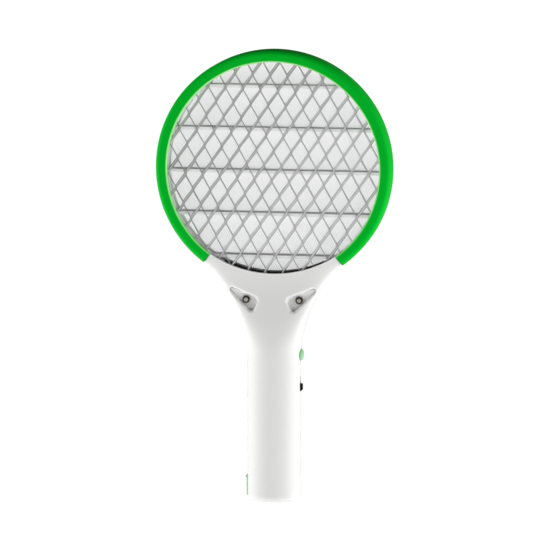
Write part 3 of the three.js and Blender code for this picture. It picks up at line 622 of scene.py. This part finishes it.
def ring_half(side):
    """One green half of the head frame, with two tangs that reach into the neck."""
    edge = 0.4
    ease = []
    for t in np.radians([0, 30, 60, 90]):
        ease.append((edge * (1 - math.cos(t)) / RING_INNER, edge * (1 - math.sin(t))))
    last = 2 * math.pi - RING_ANGLE
    stops = [(RING_ANGLE + a, i) for a, i in ease]
    stops += [(a, 0) for a in np.linspace(RING_ANGLE, last, 150)[1:-1]]
    stops += [(last - a, i) for a, i in ease[::-1]]
    body = swept("ring", ring_profile(), stops, side)
    clear = loft("clear", [full_section(z, WALL + 0.35) for z in (150, *np.arange(165, 205, 2.0))])
    low, high, deep = RING_SEAT + 0.02, RING_OUTER - 2, 4.6
    section = [(low, SEAM), (high, SEAM), (high, deep), (low, deep)]
    tang_start, tang_reach, stub_start, stub_end = (math.radians(a) for a in (27, 9.6, 36.5, 38.5))
    extra = []
    for turn in (1, -1):
        inner = [(turn * (tang_start + a), 0) for a in np.linspace(0, tang_reach, 5)]
        outer = [(turn * a, 0) for a in np.linspace(stub_start, stub_end, 3)]
        tang = combine(swept("tang", section, inner, side), copy_of(clear, "clear_copy"), "INTERSECT")
        extra += [tang, swept("stub", section, outer, side)]
    bpy.data.objects.remove(clear)
    combine(body, extra, "UNION")
    return smooth(without_scraps(body), 40)


def spacer(side):
    """The hoop with cross ribs that holds an outer net away from the fine one."""
    near, far = SPACER_NEAR, SPACER_FAR
    profile = [(SPACER_INNER, near), (NET_OUTER, near), (NET_OUTER, far), (SPACER_INNER, far)]
    hoop = lathe("hoop", "y", [(r, side * y) for r, y in profile], (0, 0, RING_Z), 128)
    ribs = []
    for i in range(RIBS):
        up = (i - (RIBS - 1) / 2) * RIB_PITCH - RIB_DROP
        reach = math.sqrt(84.5 ** 2 - up ** 2)
        zs = (RING_Z + up - RIB_THICK / 2, RING_Z + up + RIB_THICK / 2)
        ribs.append(box("rib", (-reach, reach), sorted((side * near, side * far)), zs))
    return smooth(bevelled(combine(hoop, ribs, "UNION"), 0.35, 3, 50), 40)


def lattice_point(u, v, side):
    """From the net's own slanted grid to x and z. The two sheets are not cut at the same place."""
    c, s = math.cos(NET_TURN), math.sin(NET_TURN)
    du, dv = FRONT_NET_SHIFT if side > 0 else REAR_NET_SHIFT
    return u * c - v * s + du, RING_Z + u * s + v * c + dv


def strand_family(lean, side, width, thick, tilt, lift):
    """Every strand of one direction, each a long bar that steps through the bonds where the strands join.

    A strand's outer face has a flat middle and sheared, sloping edges."""
    half_w, half_h, bond = DIAMOND_W / 2, DIAMOND_H / 2, (0.3, 1.15)
    strands, crossings, reach = 27, 9, 99
    section = [(-0.5, -0.5), (0.5, -0.5), (0.5, -0.2), (0.38, 0.16), (0.22, 0.42), (0.0, 0.5),
               (-0.22, 0.42), (-0.38, 0.16), (-0.5, -0.2)]
    bars = []
    for k in range(-strands, strands + 1, 2):
        path = []
        for j in range(-crossings, crossings + 1):
            i = lean * j + k
            if (i + j) % 2 == 0:
                continue
            u, v = i * half_w, j * half_h
            wobble = 0.12 * math.sin(2.3 * i + 1.7 * j + side)
            path.append((u - lean * bond[0] + wobble, v - bond[1], 0.0))
            path.append((u + lean * bond[0] + wobble, v + bond[1], 0.0))
            path.append((u + lean * half_w / 2, v + half_h / 2, 0.05 * math.sin(3.1 * i + j)))
        path = np.array([p for p in path if math.hypot(p[0], p[1]) < reach])
        if len(path) < 3:
            continue
        rows = []
        for n, (u, v, sway) in enumerate(path):
            ahead = path[min(n + 1, len(path) - 1)][:2] - path[max(n - 1, 0)][:2]
            ahead /= np.linalg.norm(ahead)
            across = np.array([ahead[1], -ahead[0]])
            row = []
            for a, b in section:
                a, b = a * width, b * thick
                a, b = a * math.cos(tilt) - b * math.sin(tilt), a * math.sin(tilt) + b * math.cos(tilt)
                x, z = lattice_point(u + across[0] * a, v + across[1] * a, side)
                row.append((x, side * (NET_Y + lift + sway + b), z))
            rows.append(row)
        bars.append(loft("strand", rows))
    return together("strands", bars)


def together(name, parts):
    """Several closed bodies as one object."""
    points, faces, shift = [], [], 0
    for part in parts:
        points += [v.co / MM for v in part.data.vertices]
        faces += [tuple(i + shift for i in p.vertices) for p in part.data.polygons]
        shift = len(points)
        bpy.data.objects.remove(part)
    return new_object(name, points, faces)


def outer_net(side):
    """One sheet of diamonds, trimmed round and joined to its flat rim."""
    wide = strand_family(1, side, **WIDE_STRAND)
    thin = strand_family(-1, side, **THIN_STRAND)
    net = combine(wide, thin, "UNION")
    disc = bar("disc", "y", 84.6, sorted((side * 5.0, side * 7.5)), (0, 0, RING_Z), 128)
    combine(net, disc, "INTERSECT")
    rim = [(83.6, 5.95), (NET_OUTER, 5.95), (NET_OUTER, 6.55), (83.6, 6.55)]
    combine(net, lathe("rim", "y", [(r, side * y) for r, y in rim], (0, 0, RING_Z), 128), "UNION")
    return smooth(net, 30)


def fine_net():
    """The high-voltage mesh: two crossing layers of fine wire, with a soldered tab at its foot."""
    pitch, reach = 1.45, 83.6
    count = math.ceil(reach / pitch)
    bars = []
    for lean, y, wire in ((1, -0.07, 0.46), (-1, 0.07, 0.37)):
        slope = math.radians(90 - lean * 31) + NET_TURN
        along = np.array([math.cos(slope), math.sin(slope)])
        across = np.array([-along[1], along[0]])
        for k in range(-count, count + 1):
            off = k * pitch
            if abs(off) > reach - 1:
                continue
            half = math.sqrt(reach ** 2 - off ** 2)
            rows = []
            for s in (-half, half):
                row = []
                for a, b in ((-0.5, 0), (-0.32, -0.08), (0.32, -0.08), (0.5, 0), (0.32, 0.08), (-0.32, 0.08)):
                    p = across * (off + a * wire) + along * s
                    row.append((p[0], y + b, RING_Z + p[1]))
                rows.append(row)
            bars.append(loft("wire", rows))
    rim = [(82.9, -0.15), (84, -0.15), (84, 0.15), (82.9, 0.15)]
    bars.append(lathe("rim", "y", rim, (0, 0, RING_Z), 128))
    bars.append(box("tab", (-2.5, 0.5), (-0.15, 0.15), (170.4, 176.5)))
    return smooth(together("fine_net", bars), 50)


# ---------------- fasteners and controls

def screw(side):
    """A pan-head screw with a tapered cross recess."""
    head = -POCKET_FLOOR - 0.3
    top, dome, span = head - 2.3, 1.25, 3.05
    profile = [(0, top)]
    for r in (0.7, 1.3, 1.8, 2.2, 2.5, 2.72, 2.86):
        profile.append((r, top + dome - dome * math.sqrt(1 - (r / span) ** 2)))
    profile += [(2.95, top + 1.35), (2.95, head - 0.12), (2.83, head), (1.5, head)]
    y = head + 1.2
    while y < head + 12.6:  # the thread
        profile += [(1.14, y), (1.5, y + 0.3), (1.5, y + 0.38), (1.14, y + 0.68)]
        y += 0.9
    profile += [(1.0, head + 13.2), (0, head + 14.9)]
    body = lathe("screw", "y", profile, (side * SCREW_X, 0, SCREW_Z), 40)
    turn = math.radians(25)
    for quarter in (0, math.pi / 2):
        a = turn + quarter
        along, across = np.array([math.cos(a), -math.sin(a)]), np.array([math.sin(a), math.cos(a)])
        rows = []
        for y, long, wide in ((top - 1, 2.05, 0.52), (top + 0.3, 1.85, 0.42), (top + 1.5, 0.9, 0.25)):
            ring = [along * s * long + across * t * wide for s, t in ((-1, -1), (1, -1), (1, 1), (-1, 1))]
            rows.append([(side * SCREW_X + p[0], y, SCREW_Z + p[1]) for p in ring])
        combine(body, loft("slot", rows))
    return smooth(body, 35)


def push_button():
    """The domed button, with a flange inside the shell that keeps it in."""
    edge, tip = 21.0, BUTTON_TIP
    turns = np.radians(np.arange(0, 90, 9))
    dome = [(BUTTON_R * math.cos(t), edge + (tip - edge) * math.sin(t)) for t in turns]
    flange = [(0, 15.8), (5.4, 15.8), (5.6, 16.0), (5.6, 16.6), (5.4, 16.8), (BUTTON_R, 16.8)]
    profile = [*flange, *dome, (0, tip)]
    return smooth(lathe("button", "x", profile, (0, 0, BUTTON_Z), 64), 40)


def slide_knob():
    """The sliding knob: a ribbed thumb piece on a stem."""
    low, high = KNOB_Z, KNOB_Z + KNOB_TALL
    outline = rounded([(-3, low), (3, low), (3, high), (-3, high)], [0.7] * 4, 5)
    out = facing(outline)
    rows = [np.stack([width_at(outline[:, 0], outline[:, 1]) - 0.9, outline[:, 0], outline[:, 1]], 1)]
    for drop, inset in ((0.6, 0), (0.3, 0.08), (0.1, 0.25), (0, 0.5)):
        p = outline - out * inset
        rows.append(np.stack([np.full(len(p), KNOB_TIP - drop), p[:, 0], p[:, 1]], 1))
    body = loft("knob", rows)
    stem_z = (low + STEM_INSET, high - STEM_INSET)
    combine(body, box("stem", (14.4, KNOB_TIP - 0.7), (-STEM_HALF, STEM_HALF), stem_z), "UNION")
    groove = ((-0.48, -0.05), (0.3, -0.42), (0.3, 0.42), (-0.48, 0.05))
    grooves = []
    for i in range(3):
        z = low + 1.3 + 1.2 * i
        rows = [[(KNOB_TIP + x, y, z + h) for x, h in groove] for y in (-5, 5)]
        grooves.append(loft("groove", rows))
    combine(body, grooves)
    return smooth(body, 30)


def flap_shape():
    """The charging socket's soft cover, with its hinge knuckle and a thumbnail lip."""
    low, high = FLAP_LOW, FLAP_HINGE
    half, inner, edge = 4.6, -1.1, 0.45
    outline = upright(half, low, high, [1.1, 1.1, 0.3, 0.3], 1.0)
    out = facing(outline)
    middle = outline.mean(0)

    def row(points, proud):
        x = width_at(points[:, 0], np.maximum(points[:, 1], 3.2)) + proud
        return np.stack([-x, points[:, 0], points[:, 1]], 1)

    rows = [row(middle + (outline - middle) * s, inner) for s in (0.04, 0.35, 0.65, 0.9)]
    rows += [row(outline, inner), row(outline, edge)]
    for t in np.radians([30, 60, 90]):
        rows.append(row(outline - out * edge * (1 - math.cos(t)), edge + edge * math.sin(t)))
    rows += [row(middle + (outline - middle) * s, 2 * edge) for s in (0.85, 0.6, 0.3, 0.04)]
    body = loft("flap", rows)
    knuckle = bar("knuckle", "y", 1.0, (-half, half), (-20.9, 0, FLAP_HINGE), 32)
    combine(body, knuckle, "UNION")
    dent = lathe("dent", "y", [(0, -2.6), (0.7, -2.4), (0.7, 2.4), (0, 2.6)], (-22.35, 0, FLAP_LOW + 2.2), 24)
    combine(body, dent)
    return smooth(body, 35)


# ---------------- materials

class Nodes:
    """Short calls for building one material's node tree."""

    def __init__(self, name):
        self.material = bpy.data.materials.new(name)
        self.material.use_nodes = True
        self.tree = self.material.node_tree
        self.tree.nodes.clear()
        self.shader = self.add("ShaderNodeBsdfPrincipled")
        self.add("ShaderNodeOutputMaterial", {"Surface": self.shader.outputs["BSDF"]})
        self.place = self.add("ShaderNodeTexCoord").outputs["Object"]

    def add(self, kind, inputs=None, **settings):
        """A node with its settings. Each of its inputs is set to a value or linked from a socket."""
        node = self.tree.nodes.new(kind)
        for key, value in settings.items():
            setattr(node, key, value)
        for key, value in (inputs or {}).items():
            if isinstance(value, bpy.types.NodeSocket):
                self.tree.links.new(value, node.inputs[key])
            else:
                node.inputs[key].default_value = value
        return node

    def noise(self, scale, detail, stretch=None, distortion=0.0):
        """Fractal noise over the object's own coordinates. scale is in features for each metre."""
        at = self.place
        if stretch:
            at = self.add("ShaderNodeMapping", {"Vector": at, "Scale": stretch}).outputs["Vector"]
        inputs = {"Vector": at, "Scale": scale, "Detail": detail, "Distortion": distortion}
        return self.add("ShaderNodeTexNoise", inputs).outputs["Fac"]

    def spread(self, value, low, high, to_low=0.0, to_high=1.0):
        inputs = {"Value": value, "From Min": low, "From Max": high, "To Min": to_low, "To Max": to_high}
        return self.add("ShaderNodeMapRange", inputs).outputs["Result"]

    def math(self, operation, *values):
        return self.add("ShaderNodeMath", dict(enumerate(values)), operation=operation).outputs["Value"]

    def mix(self, factor, a, b):
        a, b = ((*end, 1.0) if isinstance(end, tuple) else end for end in (a, b))
        return self.add("ShaderNodeMix", {0: factor, 6: a, 7: b}, data_type="RGBA").outputs[2]

    def bump(self, height, strength, distance, under=None):
        inputs = {"Height": height, "Strength": strength, "Distance": distance}
        if under is not None:
            inputs["Normal"] = under
        return self.add("ShaderNodeBump", inputs).outputs["Normal"]

    def split(self, vector):
        return self.add("ShaderNodeSeparateXYZ", {"Vector": vector}).outputs

    def from_axis(self, x, z, mirror=False):
        """Distance in metres from a line along Y through x and z, given in millimetres."""
        at = self.split(self.place)
        across = self.math("ABSOLUTE", at["X"]) if mirror else at["X"]
        across = self.math("SUBTRACT", across, x * MM)
        up = self.math("SUBTRACT", at["Z"], z * MM)
        squares = self.math("ADD", self.math("POWER", across, 2.0), self.math("POWER", up, 2.0))
        return self.math("SQRT", squares)

    def edges(self, radius):
        """About 1 along sharp edges and 0 elsewhere."""
        round_off = self.add("ShaderNodeBevel", {"Radius": radius}, samples=4).outputs["Normal"]
        flat = self.add("ShaderNodeNewGeometry").outputs["Normal"]
        dot = self.add("ShaderNodeVectorMath", {0: round_off, 1: flat}, operation="DOT_PRODUCT")
        return self.spread(dot.outputs["Value"], 0.995, 0.86)

    def crevices(self, distance):
        """About 1 deep in corners and 0 in the open."""
        node = self.add("ShaderNodeAmbientOcclusion", {"Distance": distance}, samples=6)
        return self.spread(node.outputs["AO"], 0.85, 0.25)

    def finish(self, colour, roughness, normal, **constants):
        self.tree.links.new(colour, self.shader.inputs["Base Color"])
        self.tree.links.new(roughness, self.shader.inputs["Roughness"])
        self.tree.links.new(normal, self.shader.inputs["Normal"])
        for name, value in constants.items():
            self.shader.inputs[name.replace("_", " ")].default_value = value
        return self.material


def moulded(name, base, shade, worn, rough, grain, grain_size=0.35, gloss=0.5, coat=0.0, crevice_shade=0.25, lip=None,
            edge_wear_and_highlight=(0.0005, 0.5)):
    """Moulded plastic or rubber: faint flow marks, a fine grain, lightened edges and painted shade in the
    corners.

    base, shade and worn are the main, deeper and edge colours. grain is in micrometres, its size in mm.
    lip is the pale colour painted as a highlight along the head frame's inner edge. The pair after lip is how
    far the worn colour reaches from an edge, in metres, and how strong it is: a thin rubbed edge on most
    parts, and on the white plastic a wide painted highlight along its rims."""
    n = Nodes(name)
    flow = n.noise(14, 3, stretch=(1, 1, 0.35), distortion=0.4)
    patch = n.noise(110, 4)
    fine = n.noise(1000 / grain_size, 3)
    soft = n.noise(160, 2)
    colour = n.mix(n.spread(flow, 0.35, 0.7, 0, 0.55), base, shade)
    colour = n.mix(n.spread(patch, 0.5, 0.78, 0, 0.22), colour, shade)
    # Edges mix to the worn colour: a thin rubbed edge on most parts, and on the white plastic a wide painted
    # highlight
    colour = n.mix(n.math("MULTIPLY", n.edges(edge_wear_and_highlight[0]), edge_wear_and_highlight[1]), colour, worn)
    # Painted highlight: a thin band along the head frame's inner edge mixes towards the pale lip colour,
    # where its bevel catches the light
    if lip:
        bare = n.spread(n.from_axis(0, RING_Z), (RING_INNER + 1.3) * MM, (RING_INNER + 0.7) * MM)
        colour = n.mix(n.math("MULTIPLY", bare, n.spread(flow, 0.3, 0.6, 0.6, 1)), colour, lip)
    # Painted shade: corners and recesses that the AO node finds are darkened towards a dark copy of the shade
    # colour
    deep = tuple(c * 0.45 for c in shade)
    colour = n.mix(n.math("MULTIPLY", n.crevices(0.003), crevice_shade), colour, deep)
    smear = n.spread(n.noise(45, 5, distortion=1.2), 0.45, 0.7, -0.02, 0.07)
    roughness = n.math("ADD", n.spread(fine, 0.3, 0.7, rough - 0.04, rough + 0.05), smear)
    normal = n.bump(fine, 0.5, grain * 1e-6, n.bump(soft, 0.25, 6e-5))
    return n.finish(colour, roughness, normal, Specular_IOR_Level=gloss, Coat_Weight=coat)


def steel(name, bright, dull, rough, streak=(1, 1, 1), fine=1400, metallic=1.0):
    """Plated or rolled metal with fine drawing marks, dull blotches and painted shade in its hollows."""
    n = Nodes(name)
    marks = n.noise(fine, 4, stretch=streak)
    blotch = n.noise(75, 5, distortion=0.8)
    colour = n.mix(n.spread(blotch, 0.4, 0.68), bright, dull)
    colour = n.mix(n.spread(marks, 0.35, 0.75, 0, 0.3), colour, dull)
    # Painted shade: hollows that the AO node finds are darkened towards a fifth of the dull colour
    colour = n.mix(n.math("MULTIPLY", n.crevices(0.0015), 0.5), colour, tuple(c * 0.2 for c in dull))
    roughness = n.spread(marks, 0.3, 0.75, rough - 0.06, rough + 0.14)
    return n.finish(colour, roughness, n.bump(marks, 0.35, 1.5e-5), Metallic=metallic)


def expanded(name, edge, dim, bright):
    """Slit and stretched steel sheet. Its sloping strand edges are painted dark as painted shade, and its
    plated face carries a painted reflection that brightens towards the lower right.
    """
    n = Nodes(name)
    turn, at = n.split(n.add("ShaderNodeNewGeometry").outputs["True Normal"]), n.split(n.place)
    # Painted reflection: the face goes from the dim to the bright colour towards the lower right of the head
    down = n.math("SUBTRACT", at["X"], n.math("SUBTRACT", at["Z"], RING_Z * MM))
    blotch = n.spread(n.noise(60, 5, distortion=0.8), 0.3, 0.7, -0.02, 0.02)
    colour = n.mix(n.spread(n.math("ADD", down, blotch), -0.05, 0.04), dim, bright)
    marks = n.noise(1400, 4)
    colour = n.mix(n.spread(marks, 0.4, 0.75, 0, 0.35), colour, dim)
    # Painted shade: faces that turn away from the sheet's plane take the dark edge colour
    colour = n.mix(n.spread(n.math("ABSOLUTE", turn["Y"]), 0.96, 0.86), colour, edge)
    roughness = n.spread(marks, 0.3, 0.75, 0.34, 0.52)
    return n.finish(colour, roughness, n.bump(marks, 0.35, 1.5e-5), Metallic=0.45)


def driven(name, rim, bare):
    """Blackened screw heads with bright metal where the driver has rubbed the recess."""
    n = Nodes(name)
    marks = n.noise(900, 4)
    worn = n.spread(n.from_axis(SCREW_X, SCREW_Z, mirror=True), 1.75 * MM, 1.25 * MM)
    worn = n.math("MULTIPLY", worn, n.spread(n.crevices(0.0006), 0.9, 0.3))
    worn = n.math("MAXIMUM", worn, n.math("MULTIPLY", n.edges(0.0003), 0.35))
    colour = n.mix(worn, n.mix(n.spread(marks, 0.35, 0.7), rim, tuple(c * 0.5 for c in rim)), bare)
    roughness = n.spread(marks, 0.3, 0.75, 0.25, 0.45)
    return n.finish(colour, roughness, n.bump(marks, 0.3, 1.5e-5), Metallic=0.5)


def banded(name, base, other, rough, pitch, axis, share=0.5):
    """Windings, wraps and other parts with fine even bands across them."""
    n = Nodes(name)
    wave = n.math("SINE", n.math("MULTIPLY", n.split(n.place)[axis], 2 * math.pi / (pitch * MM)))
    shift = n.math("ADD", wave, n.spread(n.noise(400, 3), 0.3, 0.7, -0.5, 0.5))
    colour = n.mix(n.spread(shift, 1 - 2 * share - 0.3, 1 - 2 * share + 0.3), base, other)
    colour = n.mix(n.spread(n.noise(180, 4), 0.45, 0.75, 0, 0.35), colour, tuple(c * 0.6 for c in base))
    roughness = n.spread(n.noise(900, 3), 0.3, 0.7, rough - 0.07, rough + 0.08)
    return n.finish(colour, roughness, n.bump(wave, 0.4, 4e-5))


def make_materials():
    """One material for each slot of the record."""
    return {
        # The white plastic's worn colour, 2.2 mm wide at full strength, is a painted highlight along its rims
        "white_plastic": moulded("white_plastic", (0.8, 0.8, 0.79), (0.75, 0.75, 0.735), (0.97, 0.97, 0.965),
            0.36, 12, gloss=0.6, crevice_shade=0.4, edge_wear_and_highlight=(0.0022, 1.0)),
        # lip is a painted highlight along the ring's inner edge
        "green_plastic": moulded("green_plastic", (0.0006, 0.46, 0.024), (0.0005, 0.41, 0.018),
            (0.004, 0.54, 0.05), 0.34, 8, gloss=0.04, lip=(0.36, 0.85, 0.3)),
        "green_rubber": moulded("green_rubber", (0.46, 0.64, 0.5), (0.4, 0.58, 0.45), (0.56, 0.7, 0.58),
            0.55, 20, gloss=0.3),
        "rib_plastic": moulded("rib_plastic", (0.88, 0.88, 0.88), (0.8, 0.8, 0.8), (0.92, 0.92, 0.92), 0.5,
            12),
        "black_plastic": moulded("black_plastic", (0.006, 0.006, 0.0065), (0.004, 0.004, 0.0045),
            (0.03, 0.03, 0.03), 0.5, 18, gloss=0.15, crevice_shade=0.1),
        "net_steel": expanded("net_steel", (0.2, 0.2, 0.205), (0.68, 0.68, 0.685), (0.97, 0.97, 0.98)),
        "inner_mesh": steel("inner_mesh", (0.93, 0.93, 0.94), (0.84, 0.84, 0.85), 0.5, fine=2500,
            metallic=0.2),
        "screw_steel": driven("screw_steel", (0.05, 0.045, 0.035), (0.95, 0.92, 0.82)),
        "tin": steel("tin", (0.72, 0.72, 0.73), (0.52, 0.52, 0.54), 0.32, streak=(1, 1, 8)),
        "board": moulded("board", (0.012, 0.16, 0.05), (0.008, 0.11, 0.035), (0.16, 0.3, 0.14), 0.4, 20,
            grain_size=0.8),
        "cell_can": banded("cell_can", (0.05, 0.22, 0.55), (0.07, 0.28, 0.62), 0.35, 9, "Z"),
        "ferrite": moulded("ferrite", (0.025, 0.024, 0.026), (0.015, 0.015, 0.016), (0.07, 0.068, 0.07), 0.7,
            40),
        "winding_tape": banded("winding_tape", (0.62, 0.4, 0.03), (0.7, 0.5, 0.06), 0.45, 1.6, "Z"),
        "film_red": moulded("film_red", (0.32, 0.035, 0.018), (0.24, 0.025, 0.012), (0.45, 0.08, 0.05), 0.3,
            25, grain_size=0.9, coat=0.4),
        "resistor_body": banded("resistor_body", (0.6, 0.45, 0.25), (0.32, 0.1, 0.04), 0.4, 1.9, "X",
            share=0.3),
        "led_lens": moulded("led_lens", (0.62, 0.03, 0.02), (0.5, 0.02, 0.015), (0.8, 0.2, 0.15), 0.12, 3,
            coat=0.5),
        "red_insulation": moulded("red_insulation", (0.5, 0.014, 0.01), (0.4, 0.01, 0.008),
            (0.6, 0.05, 0.04), 0.42, 10),
        "black_insulation": moulded("black_insulation", (0.014, 0.014, 0.015), (0.009, 0.009, 0.01),
            (0.04, 0.04, 0.04), 0.42, 10),
        "white_insulation": moulded("white_insulation", (0.72, 0.7, 0.66), (0.62, 0.6, 0.56),
            (0.78, 0.77, 0.75), 0.42, 10),
    }


MATERIALS = make_materials()


def dress_frame():
    """Gives every CAD node the material of its slot in the record."""
    slot_of = {row["node"]: row["material_slot"] for row in frame["record"]["subparts"]}
    for name, node in frame["nodes"].items():
        node.data.materials.clear()
        node.data.materials.append(MATERIALS[slot_of[name]])


# ---------------- assembly

dress_frame()
piece(shell(-1), "housing", "white_plastic", "rear_shell")
piece(shell(1), "housing", "white_plastic", "front_shell")
for side, name in ((-1, "rear"), (1, "front")):
    piece(named(ring_half(side), "ring_" + name), "housing", "green_plastic", name + "_ring")
    piece(named(spacer(side), "ribs_" + name), "housing", "rib_plastic", name + "_spacer")
    piece(named(outer_net(side), "net_" + name), "housing", "net_steel", name + "_net")
piece(fine_net(), "housing", "inner_mesh", "inner_net")
for side, name in ((-1, "left"), (1, "right")):
    piece(named(screw(side), "screw_" + name), "housing", "screw_steel", "neck_screw_" + name)
button = piece(push_button(), "button", "green_plastic", "zap_button")
button.data.materials[0] = moulded("painted_lit_button", (0.3, 0.62, 0.32), (0.24, 0.54, 0.26), (0.5, 0.75, 0.5),
                                   0.25, 8)  # the ring's green painted paler, a painted highlight for the strong light on the button
piece(slide_knob(), "knob", "black_plastic", "power_knob")
piece(flap_shape(), "flap", "green_rubber", "socket_flap")


# ---------------- studio

SIDE_GLOW, FRONT_GLOW = 1.0, 0.2  # brightness of the surroundings beside the object and before it
PAPER_WHITE = 1.05  # brightness of the backdrop, just over full white
PANEL_AIM = Vector((0, 0, 0.17))  # the middle of the zapper, in metres
CAMERA_AT, CAMERA_YAW, CAMERA_PITCH = (0.4718, -2.9667, 0.6268), math.radians(9.02), math.radians(-8.54)
SENSOR, LENS = 36.0, 257.8


def studio_floor():
    """A wide pale disc that the zapper stands on."""
    rings, sides = (0.0, 0.6, 2.0, 6.0, 20.0, 60.0), 96
    points, faces = [(0, 0, 0)], []
    for r in rings[1:]:
        points += [(r * math.cos(2 * math.pi * s / sides), r * math.sin(2 * math.pi * s / sides), 0)
                   for s in range(sides)]
    faces += [(0, 1 + s, 1 + (s + 1) % sides) for s in range(sides)]
    for k in range(len(rings) - 2):
        a, b = 1 + k * sides, 1 + (k + 1) * sides
        faces += [(a + s, b + s, b + (s + 1) % sides, a + (s + 1) % sides) for s in range(sides)]
    mesh = bpy.data.meshes.new("floor")
    mesh.from_pydata(points, [], faces)
    floor = bpy.data.objects.new("floor", mesh)
    floor.location.z = -0.0004
    linked(floor)
    n = Nodes("floor_paper")
    colour = n.mix(n.spread(n.noise(9, 4), 0.3, 0.7, 0, 0.5), (0.03, 0.03, 0.03), (0.02, 0.02, 0.02))
    roughness = n.spread(n.noise(300, 3), 0.3, 0.7, 0.75, 0.9)
    n.finish(colour, roughness, n.bump(n.noise(1500, 3), 0.2, 3e-5), Specular_IOR_Level=0.0)
    n.shader.inputs["Emission Color"].default_value = (1, 1, 1, 1)
    n.shader.inputs["Emission Strength"].default_value = PAPER_WHITE
    n.material.cycles.emission_sampling = "NONE"
    mesh.materials.append(n.material)
    floor.visible_diffuse = floor.visible_glossy = floor.visible_shadow = False


def world():
    """Plain white to the camera. It lights the object from the sides and below, and least from the front,
    the back and above."""
    scene_world = bpy.data.worlds.new("studio")
    bpy.context.scene.world = scene_world
    scene_world.use_nodes = True
    tree = scene_world.node_tree
    tree.nodes.clear()

    def node(kind, **inputs):
        made = tree.nodes.new(kind)
        for key, value in inputs.items():
            socket = made.inputs[int(key[1:]) if key[1:].isdigit() else key.replace("_", " ")]
            if hasattr(value, "links"):
                tree.links.new(value, socket)
            else:
                socket.default_value = value
        return made

    direction = node("ShaderNodeSeparateXYZ", Vector=node("ShaderNodeTexCoord").outputs["Generated"]).outputs
    ahead = node("ShaderNodeMath", s0=direction["Y"])
    ahead.operation = "ABSOLUTE"
    sides = node("ShaderNodeMapRange", Value=ahead.outputs[0], From_Min=0.5, From_Max=0.92,
                 To_Min=SIDE_GLOW, To_Max=FRONT_GLOW)
    above = node("ShaderNodeMapRange", Value=direction["Z"], From_Min=-0.3, From_Max=0.5,
                 To_Min=1.0, To_Max=0.08)
    above.interpolation_type = "SMOOTHSTEP"
    glow = node("ShaderNodeMath", s0=sides.outputs[0], s1=above.outputs[0])
    glow.operation = "MULTIPLY"
    seen = node("ShaderNodeLightPath").outputs["Is Camera Ray"]
    strength = node("ShaderNodeMix", s0=seen, s2=glow.outputs[0], s3=PAPER_WHITE)
    back = node("ShaderNodeBackground", Strength=strength.outputs[0])
    back.inputs["Color"].default_value = (1, 1, 1, 1)
    tree.links.new(back.outputs[0], node("ShaderNodeOutputWorld").inputs["Surface"])


def panel(name, azimuth, elevation, distance, width, height, power):
    """A soft area light with no highlight. Azimuth 0 is the rear, the camera's side, and 90 the button's."""
    a, e = math.radians(azimuth), math.radians(elevation)
    away = Vector((math.sin(a) * math.cos(e), -math.cos(a) * math.cos(e), math.sin(e)))
    light = bpy.data.lights.new(name, "AREA")
    light.shape, light.size, light.size_y, light.energy = "RECTANGLE", width, height, power
    obj = bpy.data.objects.new(name, light)
    obj.location = PANEL_AIM + away * distance
    obj.rotation_mode = "QUATERNION"
    obj.rotation_quaternion = away.to_track_quat("Z", "Y")
    obj.visible_camera = obj.visible_glossy = False
    linked(obj)


def camera():
    """Three metres off, a little right of the rear side and a little above it, with a long lens."""
    data = bpy.data.cameras.new("camera")
    data.sensor_width, data.lens = SENSOR, LENS
    data.clip_start, data.clip_end = 0.05, 200.0
    obj = bpy.data.objects.new("camera", data)
    yaw, pitch = CAMERA_YAW, CAMERA_PITCH
    obj.location = CAMERA_AT
    look = Vector((-math.sin(yaw) * math.cos(pitch), math.cos(yaw) * math.cos(pitch), math.sin(pitch)))
    obj.rotation_mode = "QUATERNION"
    obj.rotation_quaternion = look.to_track_quat("-Z", "Y")
    linked(obj)
    bpy.context.scene.camera = obj


def looks():
    """Colours are shown as they are, with no film look."""
    view = bpy.context.scene.view_settings
    view.view_transform, view.look, view.exposure, view.gamma = "Standard", "None", 0.0, 1.0


studio_floor()
world()
panel("left", -80, 0, 1.3, 0.9, 1.3, 15.2)
panel("right", 82, 0, 1.3, 0.9, 1.3, 15)
panel("rear_fill", 5, -18, 2.2, 1.4, 1.2, 15)
panel("front_fill", 185, -18, 2.2, 1.4, 1.2, 18)
camera()
looks()
